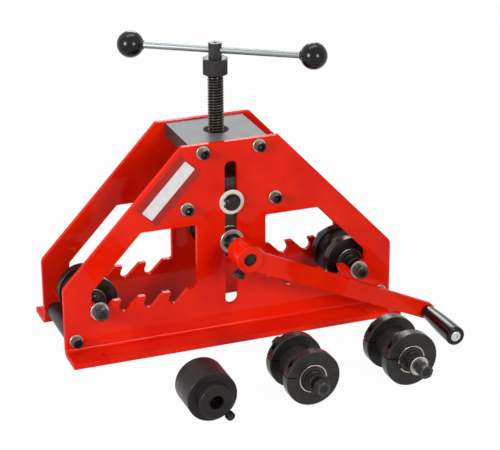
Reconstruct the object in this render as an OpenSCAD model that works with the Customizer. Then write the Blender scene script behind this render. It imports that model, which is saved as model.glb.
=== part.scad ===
// Ring roller: a hand-cranked bench machine that rolls tube, bar and flat stock into rings.
// Two bent side plates carry a driven centre roller on a screw-fed carriage and two outer
// rollers that hang in hooked notches. Three spare rollers stand in front of the machine.
// X runs along the side plates, -Y is the crank side and Z is up. The origin lies on the
// bench, in the middle of the four foot holes.

/* [Side plates] */
// Thickness of the two side plates
plate_t = 8; // [6:1:12]
// Clear width between the side plates
throat_w = 110; // [106:1:120]
// Height of the side plates above the bench
plate_h = 302; // [298:1:330]
// Length of the side plates along the bench
plate_len = 520; // [512:2:600]
// Length of the flat edge along the top
crown_len = 150; // [140:2:170]
// Height at which the slanted edges start
knee_h = 106; // [100:1:112]
// Radius of the rounded knees
knee_r = 14; // [4:1:24]

/* [Feet] */
// Reach of each foot out from its side plate
foot_w = 45; // [40:1:60]
// Inside radius of the bend between side plate and foot
bend_r = 4; // [2:1:8]
// Diameter of the foot holes
foot_hole_d = 12; // [9:1:14]
// Distance of the foot holes from their side plate
foot_hole_out = 29; // [24:1:30]
// Distance of the foot holes from the ends of their side plate
foot_hole_end = 52; // [40:1:70]

/* [Windows and notches] */
// Inner side of each window, as a share of the plates' half length
window_in_share = 0.2077; // [0.19:0.0001:0.22]
// Outer side of each window, as a share of the plates' half length
window_out_share = 0.8385; // [0.835:0.0001:0.85]
// Distance from the upper edge of the plates down to the windows
window_drop = 123; // [120:1:128]
// Width of the slanted strut beside each window
strut_w = 37; // [32:1:40]
// Corner radius of the windows
window_r = 4; // [2:1:6]
// Height of the tops of the teeth between the notches
tooth_top = 78; // [76:1:84]
// Height of the roller axles in their notches
notch_z = 66; // [64:1:68]
// Place of the innermost notch, as a share of the plates' half length
notch_share = 0.35385; // [0.34:0.00001:0.36]
// Distance between neighbouring notches, as a share of the plates' half length
notch_pitch_share = 0.14769; // [0.14:0.00001:0.148]
// Number of notches on each side
notch_count = 4; // [4:1:4]

/* [Top block and spacers] */
// Length of the threaded block between the plates
block_len = 122; // [110:1:134]
// Thickness of the threaded block
block_h = 20; // [18:1:24]
// How far the block lies below the top edge of the plates
block_drop = 2; // [1:0.5:4]
// Distance from the middle to the screws of the block
block_screw_x = 43.6; // [38:0.2:46]
// Distance from the middle to the middle spacers
mid_spacer_x = 69; // [67:1:72]
// Distance of the middle spacers below the upper edge of the plates
mid_spacer_drop = 96; // [92:1:100]
// Distance of the foot spacers from the ends of the side plates
foot_spacer_end = 16; // [14:1:17]
// Height of the foot spacers
foot_spacer_z = 24; // [20:1:25]
// Diameter of the four round spacers
spacer_d = 25; // [20:1:25]
// Thread diameter of the cap screws
cap_d = 10; // [8:1:10]
// How far the cap screws reach into the block and spacers
cap_grip = 20; // [14:1:24]

/* [Press screw] */
// Outer diameter of the press screw
screw_d = 24; // [20:1:24]
// Advance of the screw for one turn
screw_pitch = 4.25; // [4:0.25:6]
// Diameter of the plain screw head above the hexagon
screw_head_d = 20; // [18:1:22]
// Size of the drive hexagon across its flats
hex_af = 36; // [32:1:38]
// Height of the drive hexagon
hex_h = 24; // [20:1:26]
// Height of the underside of the drive hexagon above the side plates
hex_rise = 84; // [82:1:98]
// Length of the plain screw head above the hexagon
screw_head_h = 23.5; // [22:0.5:28]
// Diameter of the turned tip that carries the carriage
tip_d = 16; // [14:1:17]
// Diameter of the cross bar
bar_d = 10; // [8:1:11]
// Diameter of the two ball knobs
knob_d = 40; // [35:1:42]
// Distance between the centres of the ball knobs
knob_span = 275; // [240:1:300]
// How far the cross bar is slid out of the middle
bar_shift = 9; // [0:1:20]
// Angle of the cross bar to the side plates, seen from above
bar_turn = -34.2; // [-60:0.2:60]

/* [Carriage] */
// Width of the carriage along the plates
yoke_w = 56; // [56:1:62]
// Thickness of the carriage cheeks
cheek_t = 8; // [8:1:9]
// Thickness of the carriage head
yoke_head_t = 16; // [14:1:18]
// Distance of the carriage below the threaded block
yoke_drop = 37; // [34:1:38]
// Height of the carriage from its lower edge to its upper face
yoke_h = 122; // [122:1:127]
// Distance of the guide pin below the carriage's upper face
pin_drop = 35; // [34:1:37]
// Distance of the drive shaft below the carriage's upper face
shaft_drop = 97.5; // [95:0.5:99]
// Diameter of the guide pin and the drive shaft
shaft_d = 20; // [18:1:20]
// Lowest height of the guide slots
slot_low = 43; // [40:1:48]
// Distance from the upper edge of the plates down to the guide slots
slot_drop = 30.5; // [28:0.5:34]
// Sideways play of the pin and the shaft in the guide slots
slot_play = 0.2; // [0.2:0.1:0.4]
// Diameter of the guide pin's washers
pin_washer_d = 38; // [34:1:40]
// Thickness of the washers on pin and shaft
big_washer_t = 3; // [2:0.5:3]

/* [Ball bearings] */
// Outer diameter of the ball bearings
bearing_d = 42; // [40:1:42]
// Width of the ball bearings
bearing_w = 12; // [10:1:12]

/* [Rollers] */
// Diameter of the grooved rollers over their flanges
roller_d = 78; // [70:1:80]
// Length of the grooved rollers
roller_len = 62; // [60:1:64]
// Radius of the tube groove in the rollers
groove_r = 16; // [12:1:16]
// Diameter of the axle studs of the outer rollers
axle_d = 14; // [12:1:14]
// Diameter of the axle bushes beside the rollers
bush_d = 30; // [28:1:34]

/* [Crank] */
// Diameter of the crank hub
hub_d = 40; // [36:1:44]
// Length of the crank hub
hub_len = 42; // [36:1:50]
// Length of bare shaft that shows between the shaft's circlip and the hub
hub_gap = 32; // [26:1:40]
// Distance from the drive shaft to the crank grip
crank_r = 317; // [290:1:340]
// Height of the grip's underside above the bench
grip_low = 0.1; // [0:0.1:100]
// Thickness of the flat bar of the crank arm
arm_t = 8; // [6:1:10]
// Width of the crank arm at the hub
arm_root_w = 30; // [26:1:32]
// Width of the crank arm at the grip
arm_tip_w = 25; // [22:1:28]
// Length of the crank grip
grip_len = 96; // [84:1:100]
// Largest diameter of the crank grip
grip_d = 29; // [26:1:31]

/* [Spare rollers] */
// Diameter of the plain roller
plain_d = 72; // [66:1:76]
// Length of the plain roller's body
plain_len = 54; // [50:1:60]
// Diameter of the plain roller's hub
plain_hub_d = 49; // [44:1:50]
// Length of the plain roller's hub
plain_hub_len = 17; // [15:1:20]
// Diameter of the drums under the clamp collars
drum_d = 52; // [48:1:54]
// Length of the drums
drum_len = 75; // [70:1:80]
// Diameter of the clamp collars
collar_d = 80; // [78:1:84]
// Width of the clamp collars
collar_w = 16; // [14:1:18]
// Position along the bench of the plain roller
plain_x = -125.7; // [-130:0.1:-120]
// Position along the bench of the first collar roller
drum_a_x = 20; // [14:1:24]
// Position along the bench of the second collar roller
drum_b_x = 172; // [166:1:176]
// Distance of the first collar roller's end face in front of the middle
spare_front = 331; // [331:1:345]
// How far the plain roller stands behind the first collar roller
plain_back = 7; // [0:0.5:12]
// How far the second collar roller stands behind the first one
drum_b_back = 4.5; // [0:0.5:12]
// How far the first collar roller is turned on the bench
drum_a_turn = 1.5; // [-5:0.5:5]
// How far the second collar roller is turned on the bench
drum_b_turn = 2.5; // [-5:0.5:5]

/* [Hidden] */
$fn = 48;
root2 = sqrt(2);

// Overrun of every cut past the face that it leaves
over = 1;
// Radial play of a turning or sliding fit, such as a shaft in its bearing
run_fit = 0.05;
// Radial play of a screw in its hole and of a ring on its seat
hole_fit = 0.1;
// Gap between flat faces that move past each other
face_gap = 0.2;
// Width of the small chamfers on turned and sawn parts
edge = 1;
// Number of steps of a rounded corner and of a notch
arc_steps = 8;

// Faces of the side plates, measured from the middle of the machine
plate_in = throat_w / 2;
plate_out = plate_in + plate_t;
foot_edge = plate_out + foot_w;
half_len = plate_len / 2;

// Windows, slots and notches
window_in = half_len * window_in_share;
window_out = half_len * window_out_share;
window_top = plate_h - window_drop;
slot_high = plate_h - slot_drop;
notch_x = half_len * notch_share;
notch_pitch = half_len * notch_pitch_share;
notch_play = 0.7;
notch_r = axle_d / 2 + notch_play;
hook_over = 2.8;
hook_t = 3;
hook_rise = 2;

// Cap screws and their washers
cap_head_share = 1.6;
cap_socket_share = 0.8;
cap_head_d = cap_d * cap_head_share;
cap_head_h = cap_d;
cap_socket_af = cap_d * cap_socket_share;
cap_socket_depth = cap_d / 2;
cap_washer_d = cap_d * 2;
cap_washer_t = 2;
cap_clearance = 1;
cap_hole_d = cap_d + cap_clearance;
cap_hole_depth = cap_grip + edge * 2;
block_z = plate_h - block_drop - block_h;
fixings = [
    [block_screw_x, block_z + block_h / 2],
    [mid_spacer_x, plate_h - mid_spacer_drop],
    [half_len - foot_spacer_end, foot_spacer_z]
];

// Heights of the carriage, its pin and its shaft
yoke_top = block_z - yoke_drop;
yoke_low = yoke_top - yoke_h;
pin_z = yoke_top - pin_drop;
shaft_z = yoke_top - shaft_drop;

// Press screw: heights from the tip to the top of the head
hex_z = plate_h + hex_rise;
tip_gap = 6;
tip_len = yoke_head_t + tip_gap;
screw_top = hex_z + hex_h + screw_head_h;
bar_z = screw_top - bar_d - edge;
thread_depth_share = 0.5;
thread_crest_share = 0.3;
thread_flank_share = 0.2;
thread_depth = screw_pitch * thread_depth_share;
thread_crest = screw_pitch * thread_crest_share;
thread_flank = screw_pitch * thread_flank_share;
thread_run_out = 2;
countersink_d = 39;
hex_turn = 9.1;
bevel_share = 0.6;
knob_neck_d = 18;
knob_neck = 3;
knob_socket = 4;
knob_blind = 1;

// Circlips
clip_t = 1.5;
clip_rise = 3.5;
clip_sink = 0.5;
clip_gap_angle = 24;
clip_lug_d = 5;
clip_lug_hole = 2;

// Carriage, pin and shaft
cheek_out = plate_in - face_gap - run_fit * 2;
cheek_in = cheek_out - cheek_t;
boss_wall = 6;
boss_d = bearing_d + boss_wall * 2;
yoke_corner_r = 10;
bearing_in = cheek_out - bearing_w - hole_fit;
washer_start = plate_out + face_gap;
clip_start = washer_start + big_washer_t + hole_fit;
clip_end = clip_start + clip_t;
pin_stub = 4;
pin_end = clip_end + pin_stub;
shaft_washer_d = pin_washer_d - edge;

// Ball bearing details
race_t = 2.5;
seal_sink = 0.8;

// Centre roller and its spacers
roller_end = roller_len / 2;
spacer_ring_wall = 3.5;
spacer_ring_d = shaft_d + spacer_ring_wall * 2;
roller_screw_d = 8;
roller_screw_len = 10;
rim_share = 0.5;

// Outer roller axles
axle_x = notch_x + notch_pitch * (notch_count - 1);
axle_z = notch_z;
axle_washer_d = axle_d * 2;
axle_washer_t = 2.5;
axle_neck = 2;
axle_thread_d = axle_d - axle_neck;
axle_hex_af = 19;
axle_nut_h = 14;
axle_nut_y = plate_out + axle_washer_t + face_gap * 2;
axle_tail = 1.5;
axle_end = axle_nut_y + axle_nut_h + axle_tail;
bearing_sink = 0.5;
bush_step_wall = 3;
bush_step_d = shaft_d + bush_step_wall * 2;
bush_step = 2;
nose_tip_gap = 4;

// Crank: distances in front of the middle
hub_start = clip_end + hub_gap;
hub_front = hub_start + hub_len;
shaft_recess = 3;
arm_set_back = 2;
arm_front = hub_front - arm_set_back;
arm_back = arm_front - arm_t;
arm_leg = hub_len - arm_set_back * 2;
arm_bend_r = 5;
clamp_d = 10;
clamp_af = 16;
clamp_head_h = 7;
clamp_stand_off = 8.4;
clamp_back = hub_len / 2;
clamp_turn = 18.7;
crank_drop = asin((shaft_z - grip_d / 2 - grip_low) / crank_r);
grip_root_d = 21;
grip_nose_r = 3;
grip_start = arm_front + face_gap * 2;
grip_end = grip_start + grip_len;
spindle_d = 10;
spindle_head_d = 16;
spindle_head_h = 4;
spindle_socket_af = 6;
spindle_socket_share = 0.6;

// Spare rollers: end faces and their small screws
plain_y = plain_back - spare_front;
drum_a_place = [drum_a_x, -spare_front, drum_a_turn];
drum_b_place = [drum_b_x, drum_b_back - spare_front, drum_b_turn];
plain_screw_d = 8;
plain_screw_back = 12;
plain_screw_angle = 52;
plain_screw_stand = 5;
small_head_share = 1.6;
slit_w = 1.6;
slit_turn = 12;
pinch_d = 6;
pinch_r = (drum_d + collar_d) / 4;
pinch_head_z = 7;
pinch_low_z = 9;
bush_screw_d = 5;
bush_screw_len = 8;
bush_screw_out = 11;
bush_screw_angle_a = 80;
bush_screw_angle_b = 180;
spare_bush_end = plate_in - face_gap;
nut_a_stand = 3.8;
nut_b_stand = 12.8;
loose_washer_stand = 3;

red = [0.86, 0.10, 0.07];
black_steel = [0.16, 0.15, 0.15];
block_grey = [0.48, 0.49, 0.50];
zinc = [0.78, 0.80, 0.80];
knob_black = [0.05, 0.05, 0.05];
bright = [0.85, 0.85, 0.83];

function unit(v) = v / norm(v);

// Points of the arc that rounds the corner at p, between the corners before and after it
function round_corner(before, p, after, r) =
    let (u = unit(before - p), v = unit(after - p),
         half = acos(u * v) / 2,
         centre = p + unit(u + v) * r / sin(half),
         start = p + u * r / tan(half) - centre,
         side = u[0] * v[1] - u[1] * v[0] > 0 ? -1 : 1,
         first = atan2(start[1], start[0]),
         sweep = side * (180 - 2 * half))
    [for (i = [0 : arc_steps])
        centre + r * [cos(first + sweep * i / arc_steps), sin(first + sweep * i / arc_steps)]];

// A closed outline whose corners carry the given radii, where 0 leaves a corner sharp
function round_outline(points, radii) =
    let (n = len(points))
    [for (i = [0 : n - 1])
        each radii[i] > 0
            ? round_corner(points[(i + n - 1) % n], points[i], points[(i + 1) % n], radii[i])
            : [points[i]]];

// A round bar along Y
module rod_y(d, from, to) {
    translate([0, from, 0]) rotate([-90, 0, 0]) cylinder(d = d, h = to - from);
}

// A round tube along Y
module tube_y(d, bore, from, to) {
    difference() {
        rod_y(d, from, to);
        rod_y(bore, from - over, to + over);
    }
}

// A round bar along Y with a chamfer on both end edges
module chamfered_rod_y(d, from, to) {
    r = d / 2;
    translate([0, from, 0]) rotate([-90, 0, 0]) rotate_extrude()
        polygon([[0, 0], [r - edge, 0], [r, edge], [r, to - from - edge],
                 [r - edge, to - from], [0, to - from]]);
}

// A hexagonal bar along Y, measured across its flats
module hex_y(af, from, to) {
    translate([0, from, 0]) rotate([-90, 0, 0])
        cylinder(d = af / cos(30), h = to - from, $fn = 6);
}

// A slab across Y whose outline is drawn in X and Z
module slab_y(from, to) {
    translate([0, to, 0]) rotate([90, 0, 0]) linear_extrude(to - from) children();
}

module both_sides_x() {
    children();
    mirror([1, 0, 0]) children();
}

module both_sides_y() {
    children();
    mirror([0, 1, 0]) children();
}

// Side plates: outline, windows with their hooked notches, guide slot, screw holes and foot
plate_start = plate_t + bend_r;
slope = (plate_h - knee_h) / (half_len - crown_len / 2);
strut_drop = strut_w * norm([1, slope]);

function slant_z(x) = plate_h - strut_drop - (x - crown_len / 2) * slope;
function slant_x(z) = crown_len / 2 + (plate_h - strut_drop - z) / slope;

// One notch seen from its axle: the inner wall slopes at 45 degrees, the outer wall is a hook
function notch_points(x) =
    let (rise = tooth_top - notch_z)
    [[x - root2 * notch_r - rise, tooth_top],
     each [for (i = [0 : arc_steps])
        [x, notch_z] + notch_r * [cos(-135 + 135 * i / arc_steps), sin(-135 + 135 * i / arc_steps)]],
     [x + notch_r, notch_z + hook_rise],
     [x + notch_r - hook_over, tooth_top - hook_t],
     [x + notch_r - hook_over, tooth_top]];

module window_2d() {
    corner_points = [[window_out, slant_z(window_out)], [slant_x(window_top), window_top],
                     [window_in, window_top], [window_in, tooth_top],
                     [notch_x - root2 * notch_r - tooth_top + notch_z, tooth_top]];
    polygon([
        each [for (k = [0 : notch_count - 1]) each notch_points(notch_x + k * notch_pitch)],
        [window_out, tooth_top],
        each round_corner([window_out, tooth_top], corner_points[0], corner_points[1], window_r),
        each round_corner(corner_points[0], corner_points[1], corner_points[2], window_r),
        each round_corner(corner_points[1], corner_points[2], corner_points[3], window_r),
        each round_corner(corner_points[2], corner_points[3], corner_points[4], window_r)
    ]);
}

module slot_2d() {
    w = shaft_d + slot_play * 2;
    translate([-w / 2, slot_low + w / 2]) square([w, slot_high - slot_low - w]);
    translate([0, slot_low + w / 2]) circle(d = w);
    translate([0, slot_high - w / 2]) circle(d = w);
}

module plate_2d() {
    difference() {
        polygon(round_outline(
            [[-half_len, plate_start], [half_len, plate_start],
             [half_len, knee_h], [crown_len / 2, plate_h],
             [-crown_len / 2, plate_h], [-half_len, knee_h]],
            [0, 0, knee_r, window_r, window_r, knee_r]));
        both_sides_x() window_2d();
        slot_2d();
        both_sides_x() for (p = fixings) translate(p) circle(d = cap_hole_d);
    }
}

module side_plate() {
    color(red) difference() {
        union() {
            slab_y(-plate_out, -plate_in) plate_2d();
            translate([-half_len, 0, 0]) rotate([90, 0, 90]) linear_extrude(plate_len) {
                translate([-plate_out - bend_r, plate_start]) intersection() {
                    difference() {
                        circle(r = plate_t + bend_r);
                        circle(r = bend_r);
                    }
                    translate([0, -plate_start]) square(plate_start);
                }
                translate([-foot_edge, 0]) square([foot_w - bend_r, plate_t]);
            }
        }
        both_sides_x() translate([half_len - foot_hole_end, -plate_out - foot_hole_out, -over])
            cylinder(d = foot_hole_d, h = plate_t + over * 2);
    }
}

module front_plate() { side_plate(); }
module rear_plate() { mirror([0, 1, 0]) side_plate(); }

// Threaded block between the plates, with a countersunk mouth for the press screw
module top_block() {
    sink = (countersink_d - screw_d) / 2;
    color(block_grey) difference() {
        translate([-block_len / 2, -plate_in, block_z]) cube([block_len, throat_w, block_h]);
        translate([0, 0, block_z - over])
            cylinder(d = screw_d + run_fit * 2, h = block_h + over * 2);
        translate([0, 0, block_z + block_h - sink]) rotate_extrude()
            polygon([[0, 0], [screw_d / 2 + run_fit, 0],
                     [countersink_d / 2 + over, sink + over], [0, sink + over]]);
        both_sides_x() both_sides_y() translate([fixings[0][0], 0, fixings[0][1]])
            rod_y(cap_d + hole_fit * 2, plate_in - cap_hole_depth, plate_in + over);
    }
}

module spacer(x, z) {
    translate([x, 0, z]) difference() {
        rod_y(spacer_d, -plate_in, plate_in);
        both_sides_y() rod_y(cap_d + hole_fit * 2, plate_in - cap_hole_depth, plate_in + over);
    }
}

module mid_spacers() { color(black_steel) both_sides_x() spacer(fixings[1][0], fixings[1][1]); }
module foot_spacers() { color(black_steel) both_sides_x() spacer(fixings[2][0], fixings[2][1]); }

// The twelve cap screws and their washers, six on each side plate
module at_fixings() {
    both_sides_y() both_sides_x() for (p = fixings) translate([p[0], 0, p[1]]) children();
}

module cap_screws() {
    seat = plate_out + cap_washer_t;
    color(black_steel) at_fixings() difference() {
        union() {
            rod_y(cap_d, plate_in - cap_grip, seat + edge);
            chamfered_rod_y(cap_head_d, seat, seat + cap_head_h);
        }
        hex_y(cap_socket_af, seat + cap_head_h - cap_socket_depth, seat + cap_head_h + over);
    }
}

module screw_washers() {
    color(zinc) at_fixings()
        tube_y(cap_washer_d, cap_d + hole_fit * 2, plate_out, plate_out + cap_washer_t);
}

// A circlip round Y: a split ring with two eyed lugs, its gap towards -X
module circlip_y(seat_d, from) {
    ring_in = seat_d / 2 - clip_sink + hole_fit;
    ring_out = ring_in + clip_rise;
    lug_x = -(ring_out + ring_in) / 2;
    slab_y(from, from + clip_t) difference() {
        union() {
            circle(r = ring_out);
            for (s = [-1, 1]) rotate(s * clip_gap_angle) translate([lug_x, 0])
                circle(d = clip_lug_d);
        }
        circle(r = ring_in);
        polygon([[0, 0],
                 for (s = [-1, 1]) 2 * ring_out
                    * [-cos(clip_gap_angle / 2), s * sin(clip_gap_angle / 2)]]);
        for (s = [-1, 1]) rotate(s * clip_gap_angle) translate([lug_x, 0])
            circle(d = clip_lug_hole);
    }
}

// The groove of a circlip, to be cut from its pin
module circlip_groove_y(seat_d, from) {
    tube_y(seat_d + over * 2, seat_d - clip_sink * 2, from - hole_fit, from + clip_t + hole_fit);
}

// Ball bearing round Y: two races with a sunk seal between them on each face
module ball_bearing(from) {
    outer = bearing_d / 2;
    inner = shaft_d / 2 + run_fit;
    w = bearing_w;
    translate([0, from, 0]) rotate([-90, 0, 0]) rotate_extrude()
        polygon([[inner, 0], [inner + race_t, 0], [inner + race_t, seal_sink],
                 [outer - race_t, seal_sink], [outer - race_t, 0], [outer, 0],
                 [outer, w], [outer - race_t, w], [outer - race_t, w - seal_sink],
                 [inner + race_t, w - seal_sink], [inner + race_t, w], [inner, w]]);
}

// Carriage: two cheeks under a head plate, with seats for the bearings of the drive shaft
module carriage_yoke() {
    seat_d = bearing_d + hole_fit * 2;
    color(black_steel) difference() {
        union() {
            both_sides_y() {
                slab_y(cheek_in, cheek_out) polygon(round_outline(
                    [[-yoke_w / 2, yoke_low], [yoke_w / 2, yoke_low],
                     [yoke_w / 2, yoke_top], [-yoke_w / 2, yoke_top]],
                    [yoke_corner_r, yoke_corner_r, 0, 0]));
                translate([0, 0, shaft_z]) rod_y(boss_d, bearing_in, cheek_in + edge);
            }
            translate([-yoke_w / 2, -cheek_in - edge, yoke_top - yoke_head_t])
                cube([yoke_w, (cheek_in + edge) * 2, yoke_head_t]);
        }
        translate([0, 0, shaft_z]) rod_y(seat_d, -plate_in, plate_in);
        translate([0, 0, pin_z]) rod_y(shaft_d + run_fit * 2, -plate_in, plate_in);
        translate([0, 0, yoke_top - yoke_head_t - over])
            cylinder(d = tip_d + run_fit * 2, h = yoke_head_t + over * 2);
        translate([-yoke_w / 2 - over, -plate_in, yoke_low - boss_d])
            cube([yoke_w + over * 2, throat_w, boss_d]);
    }
}

module guide_pin() {
    color(black_steel) translate([0, 0, pin_z]) difference() {
        chamfered_rod_y(shaft_d, -pin_end, pin_end);
        both_sides_y() circlip_groove_y(shaft_d, clip_start);
    }
}

module washer_pair(d) {
    both_sides_y() tube_y(d, shaft_d + run_fit * 2, washer_start, washer_start + big_washer_t);
}

module guide_pin_washers() { color(zinc) translate([0, 0, pin_z]) washer_pair(pin_washer_d); }
module guide_pin_circlips() {
    color(black_steel) translate([0, 0, pin_z]) both_sides_y() circlip_y(shaft_d, clip_start);
}

module shaft_bearings() {
    color(bright) translate([0, 0, shaft_z]) both_sides_y() ball_bearing(cheek_out - bearing_w);
}

// Press screw: turned tip, threaded stem and plain head; the thread is drawn as ridges
module press_screw() {
    r = screw_d / 2;
    root = r - thread_depth;
    first = yoke_top + face_gap + thread_run_out;
    ridges = floor((hex_z - thread_run_out - first) / screw_pitch);
    ridge = [[root, 0], [r, thread_flank], [r, thread_flank + thread_crest],
             [root, thread_flank * 2 + thread_crest]];
    color(black_steel) difference() {
        rotate_extrude() polygon([
            [0, yoke_top - tip_len],
            [tip_d / 2 - edge, yoke_top - tip_len],
            [tip_d / 2, yoke_top - tip_len + edge],
            [tip_d / 2, yoke_top + face_gap],
            [root, yoke_top + face_gap],
            each [for (i = [0 : ridges - 1], p = ridge) p + [0, first + i * screw_pitch]],
            [root, hex_z + edge],
            [screw_head_d / 2, hex_z + edge],
            [screw_head_d / 2, screw_top - edge],
            [screw_head_d / 2 - edge, screw_top],
            [0, screw_top]
        ]);
        translate([0, 0, bar_z]) rotate([0, 0, bar_turn + 90])
            rod_y(bar_d + hole_fit * 2, -screw_head_d, screw_head_d);
        translate([0, 0, yoke_top - yoke_head_t - face_gap - clip_t])
            difference() {
                translate([0, 0, -hole_fit]) cylinder(r = tip_d, h = clip_t + hole_fit * 2);
                translate([0, 0, -over])
                    cylinder(d = tip_d - clip_sink * 2, h = clip_t + over * 2);
            }
    }
}

// The drive hexagon, chamfered above and below
module screw_hex() {
    corner = hex_af / cos(30) / 2;
    face_r = hex_af / 2 - edge;
    wide = corner + over;
    bevel = (wide - face_r) * bevel_share;
    color(black_steel) translate([0, 0, hex_z]) difference() {
        intersection() {
            rotate([0, 0, hex_turn]) cylinder(r = corner, h = hex_h, $fn = 6);
            rotate_extrude() polygon([
                [0, 0], [face_r, 0], [wide, bevel],
                [wide, hex_h - bevel], [face_r, hex_h], [0, hex_h]]);
        }
        translate([0, 0, edge]) cylinder(d = screw_head_d + hole_fit * 2, h = hex_h + over);
        translate([0, 0, -over]) cylinder(r = screw_d / 2 - thread_depth + hole_fit, h = over * 3);
    }
}

module screw_circlip() {
    color(black_steel)
        translate([0, 0, yoke_top - yoke_head_t - face_gap]) rotate([-90, 0, 0])
        circlip_y(tip_d, 0);
}

// Cross bar through the screw head, with a ball knob on each end
module on_bar() {
    translate([0, 0, bar_z]) rotate([0, 0, bar_turn]) translate([bar_shift, 0, 0]) children();
}

module tee_bar() {
    reach = knob_span / 2 - knob_socket;
    color(zinc) on_bar() rotate([0, 0, 90]) chamfered_rod_y(bar_d, -reach, reach);
}

module ball_knobs() {
    r = knob_d / 2;
    neck_r = knob_neck_d / 2;
    neck_y = sqrt(r * r - neck_r * neck_r);
    color(knob_black) on_bar() both_sides_x() translate([knob_span / 2, 0, 0]) difference() {
        union() {
            sphere(r = r, $fn = 64);
            rotate([0, 0, 90]) rod_y(knob_neck_d, neck_y - edge * 2, neck_y + knob_neck);
        }
        rotate([0, 0, 90]) rod_y(bar_d + hole_fit * 2, -knob_blind, r * 2);
    }
}

// Drive shaft with everything that turns with it
module drive_shaft() {
    color(black_steel) translate([0, 0, shaft_z]) difference() {
        chamfered_rod_y(shaft_d, -hub_front + shaft_recess, pin_end);
        both_sides_y() circlip_groove_y(shaft_d, clip_start);
    }
}

// A roller of the given half length with a round groove for tube
module grooved_body(bore, waist_bore, seat_depth) {
    r = roller_d / 2;
    groove_low = r + edge - groove_r;
    half = acos(edge / groove_r);
    rotate([-90, 0, 0]) rotate_extrude() polygon([
        [bore / 2, -roller_end], [r - edge, -roller_end], [r, -roller_end + edge],
        each [for (i = [0 : arc_steps * 2])
            let (a = -half + 2 * half * i / (arc_steps * 2))
            [r + edge - groove_r * cos(a), groove_r * sin(a)]],
        [r, roller_end - edge], [r - edge, roller_end], [bore / 2, roller_end],
        if (seat_depth > 0) each [
            [bore / 2, roller_end - seat_depth], [waist_bore / 2, roller_end - seat_depth],
            [waist_bore / 2, -roller_end + seat_depth], [bore / 2, -roller_end + seat_depth]]
    ]);
}

rim_w = roller_end - sqrt(groove_r * groove_r - edge * edge);
roller_screw_y = roller_end - rim_w * rim_share;

module centre_roller() {
    color(black_steel) translate([0, 0, shaft_z]) difference() {
        grooved_body(shaft_d + run_fit * 2, 0, 0);
        translate([0, roller_screw_y, 0])
            cylinder(d = roller_screw_d + hole_fit * 2, h = roller_d);
    }
}

module centre_roller_screw() {
    low = shaft_d / 2 + hole_fit;
    color(black_steel) translate([0, roller_screw_y, shaft_z]) difference() {
        translate([0, 0, low]) cylinder(d = roller_screw_d, h = roller_screw_len);
        translate([0, 0, low + roller_screw_len / 2])
            cylinder(d = roller_screw_d / 2, h = roller_screw_len, $fn = 6);
    }
}

module shaft_spacers() {
    color(black_steel) translate([0, 0, shaft_z]) both_sides_y()
        tube_y(spacer_ring_d, shaft_d + run_fit * 2, roller_end + hole_fit,
               cheek_out - bearing_w - face_gap);
}

module shaft_washers() { color(zinc) translate([0, 0, shaft_z]) washer_pair(shaft_washer_d); }
module shaft_circlips() {
    color(black_steel) translate([0, 0, shaft_z]) both_sides_y() circlip_y(shaft_d, clip_start);
}

module crank_hub() {
    color(red) translate([0, 0, shaft_z]) difference() {
        chamfered_rod_y(hub_d, -hub_front, -hub_start);
        rod_y(shaft_d + run_fit * 2, -hub_front - over, -hub_start + over);
        rotate([0, clamp_turn, 0]) translate([0, -hub_front + clamp_back, -hub_d])
            cylinder(d = clamp_d + hole_fit * 2, h = hub_d);
    }
}

// Crank arm: a flat bar bent from the side of the hub out to the grip
module crank_arm() {
    color(red) translate([0, 0, shaft_z]) rotate([0, crank_drop, 0]) difference() {
        union() {
            slab_y(-arm_front, -arm_back) {
                polygon([[hub_d / 2 - arm_t, -arm_root_w / 2], [crank_r, -arm_tip_w / 2],
                         [crank_r, arm_tip_w / 2], [hub_d / 2 - arm_t, arm_root_w / 2]]);
                translate([crank_r, 0]) circle(d = arm_tip_w);
            }
            translate([hub_d / 2 - arm_t, -arm_front, -arm_root_w / 2])
                cube([arm_t, arm_leg, arm_root_w]);
            translate([hub_d / 2 - edge, -arm_back - edge, -arm_root_w / 2]) difference() {
                cube([arm_bend_r + edge, arm_bend_r + edge, arm_root_w]);
                translate([arm_bend_r + edge, arm_bend_r + edge, -over])
                    cylinder(r = arm_bend_r, h = arm_root_w + over * 2);
            }
        }
        rod_y(hub_d + hole_fit, -hub_front - over, -hub_start);
        translate([crank_r, 0, 0]) rod_y(spindle_d + hole_fit * 2, -hub_front, -hub_start);
    }
}

// Clamp bolt under the hub
module hub_clamp_bolt() {
    tip = shaft_d / 2 + hole_fit;
    head = hub_d / 2 + clamp_stand_off;
    color(black_steel) translate([0, 0, shaft_z]) rotate([0, clamp_turn, 0])
        translate([0, -hub_front + clamp_back, 0]) mirror([0, 0, 1]) {
            translate([0, 0, tip]) cylinder(d = clamp_d, h = head - tip + edge);
            translate([0, 0, head]) cylinder(d = clamp_af / cos(30), h = clamp_head_h, $fn = 6);
        }
}

module at_grip() {
    translate([0, 0, shaft_z]) rotate([0, crank_drop, 0]) translate([crank_r, 0, 0])
        children();
}

// The spindle screws into the arm and holds the grip with its round head
module grip_spindle() {
    color(bright) at_grip() difference() {
        union() {
            rod_y(spindle_d, -grip_end + edge, -arm_back);
            chamfered_rod_y(spindle_head_d, -grip_end, -grip_end + spindle_head_h);
        }
        hex_y(spindle_socket_af, -grip_end - over, -grip_end + spindle_head_h * spindle_socket_share);
    }
}

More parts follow.
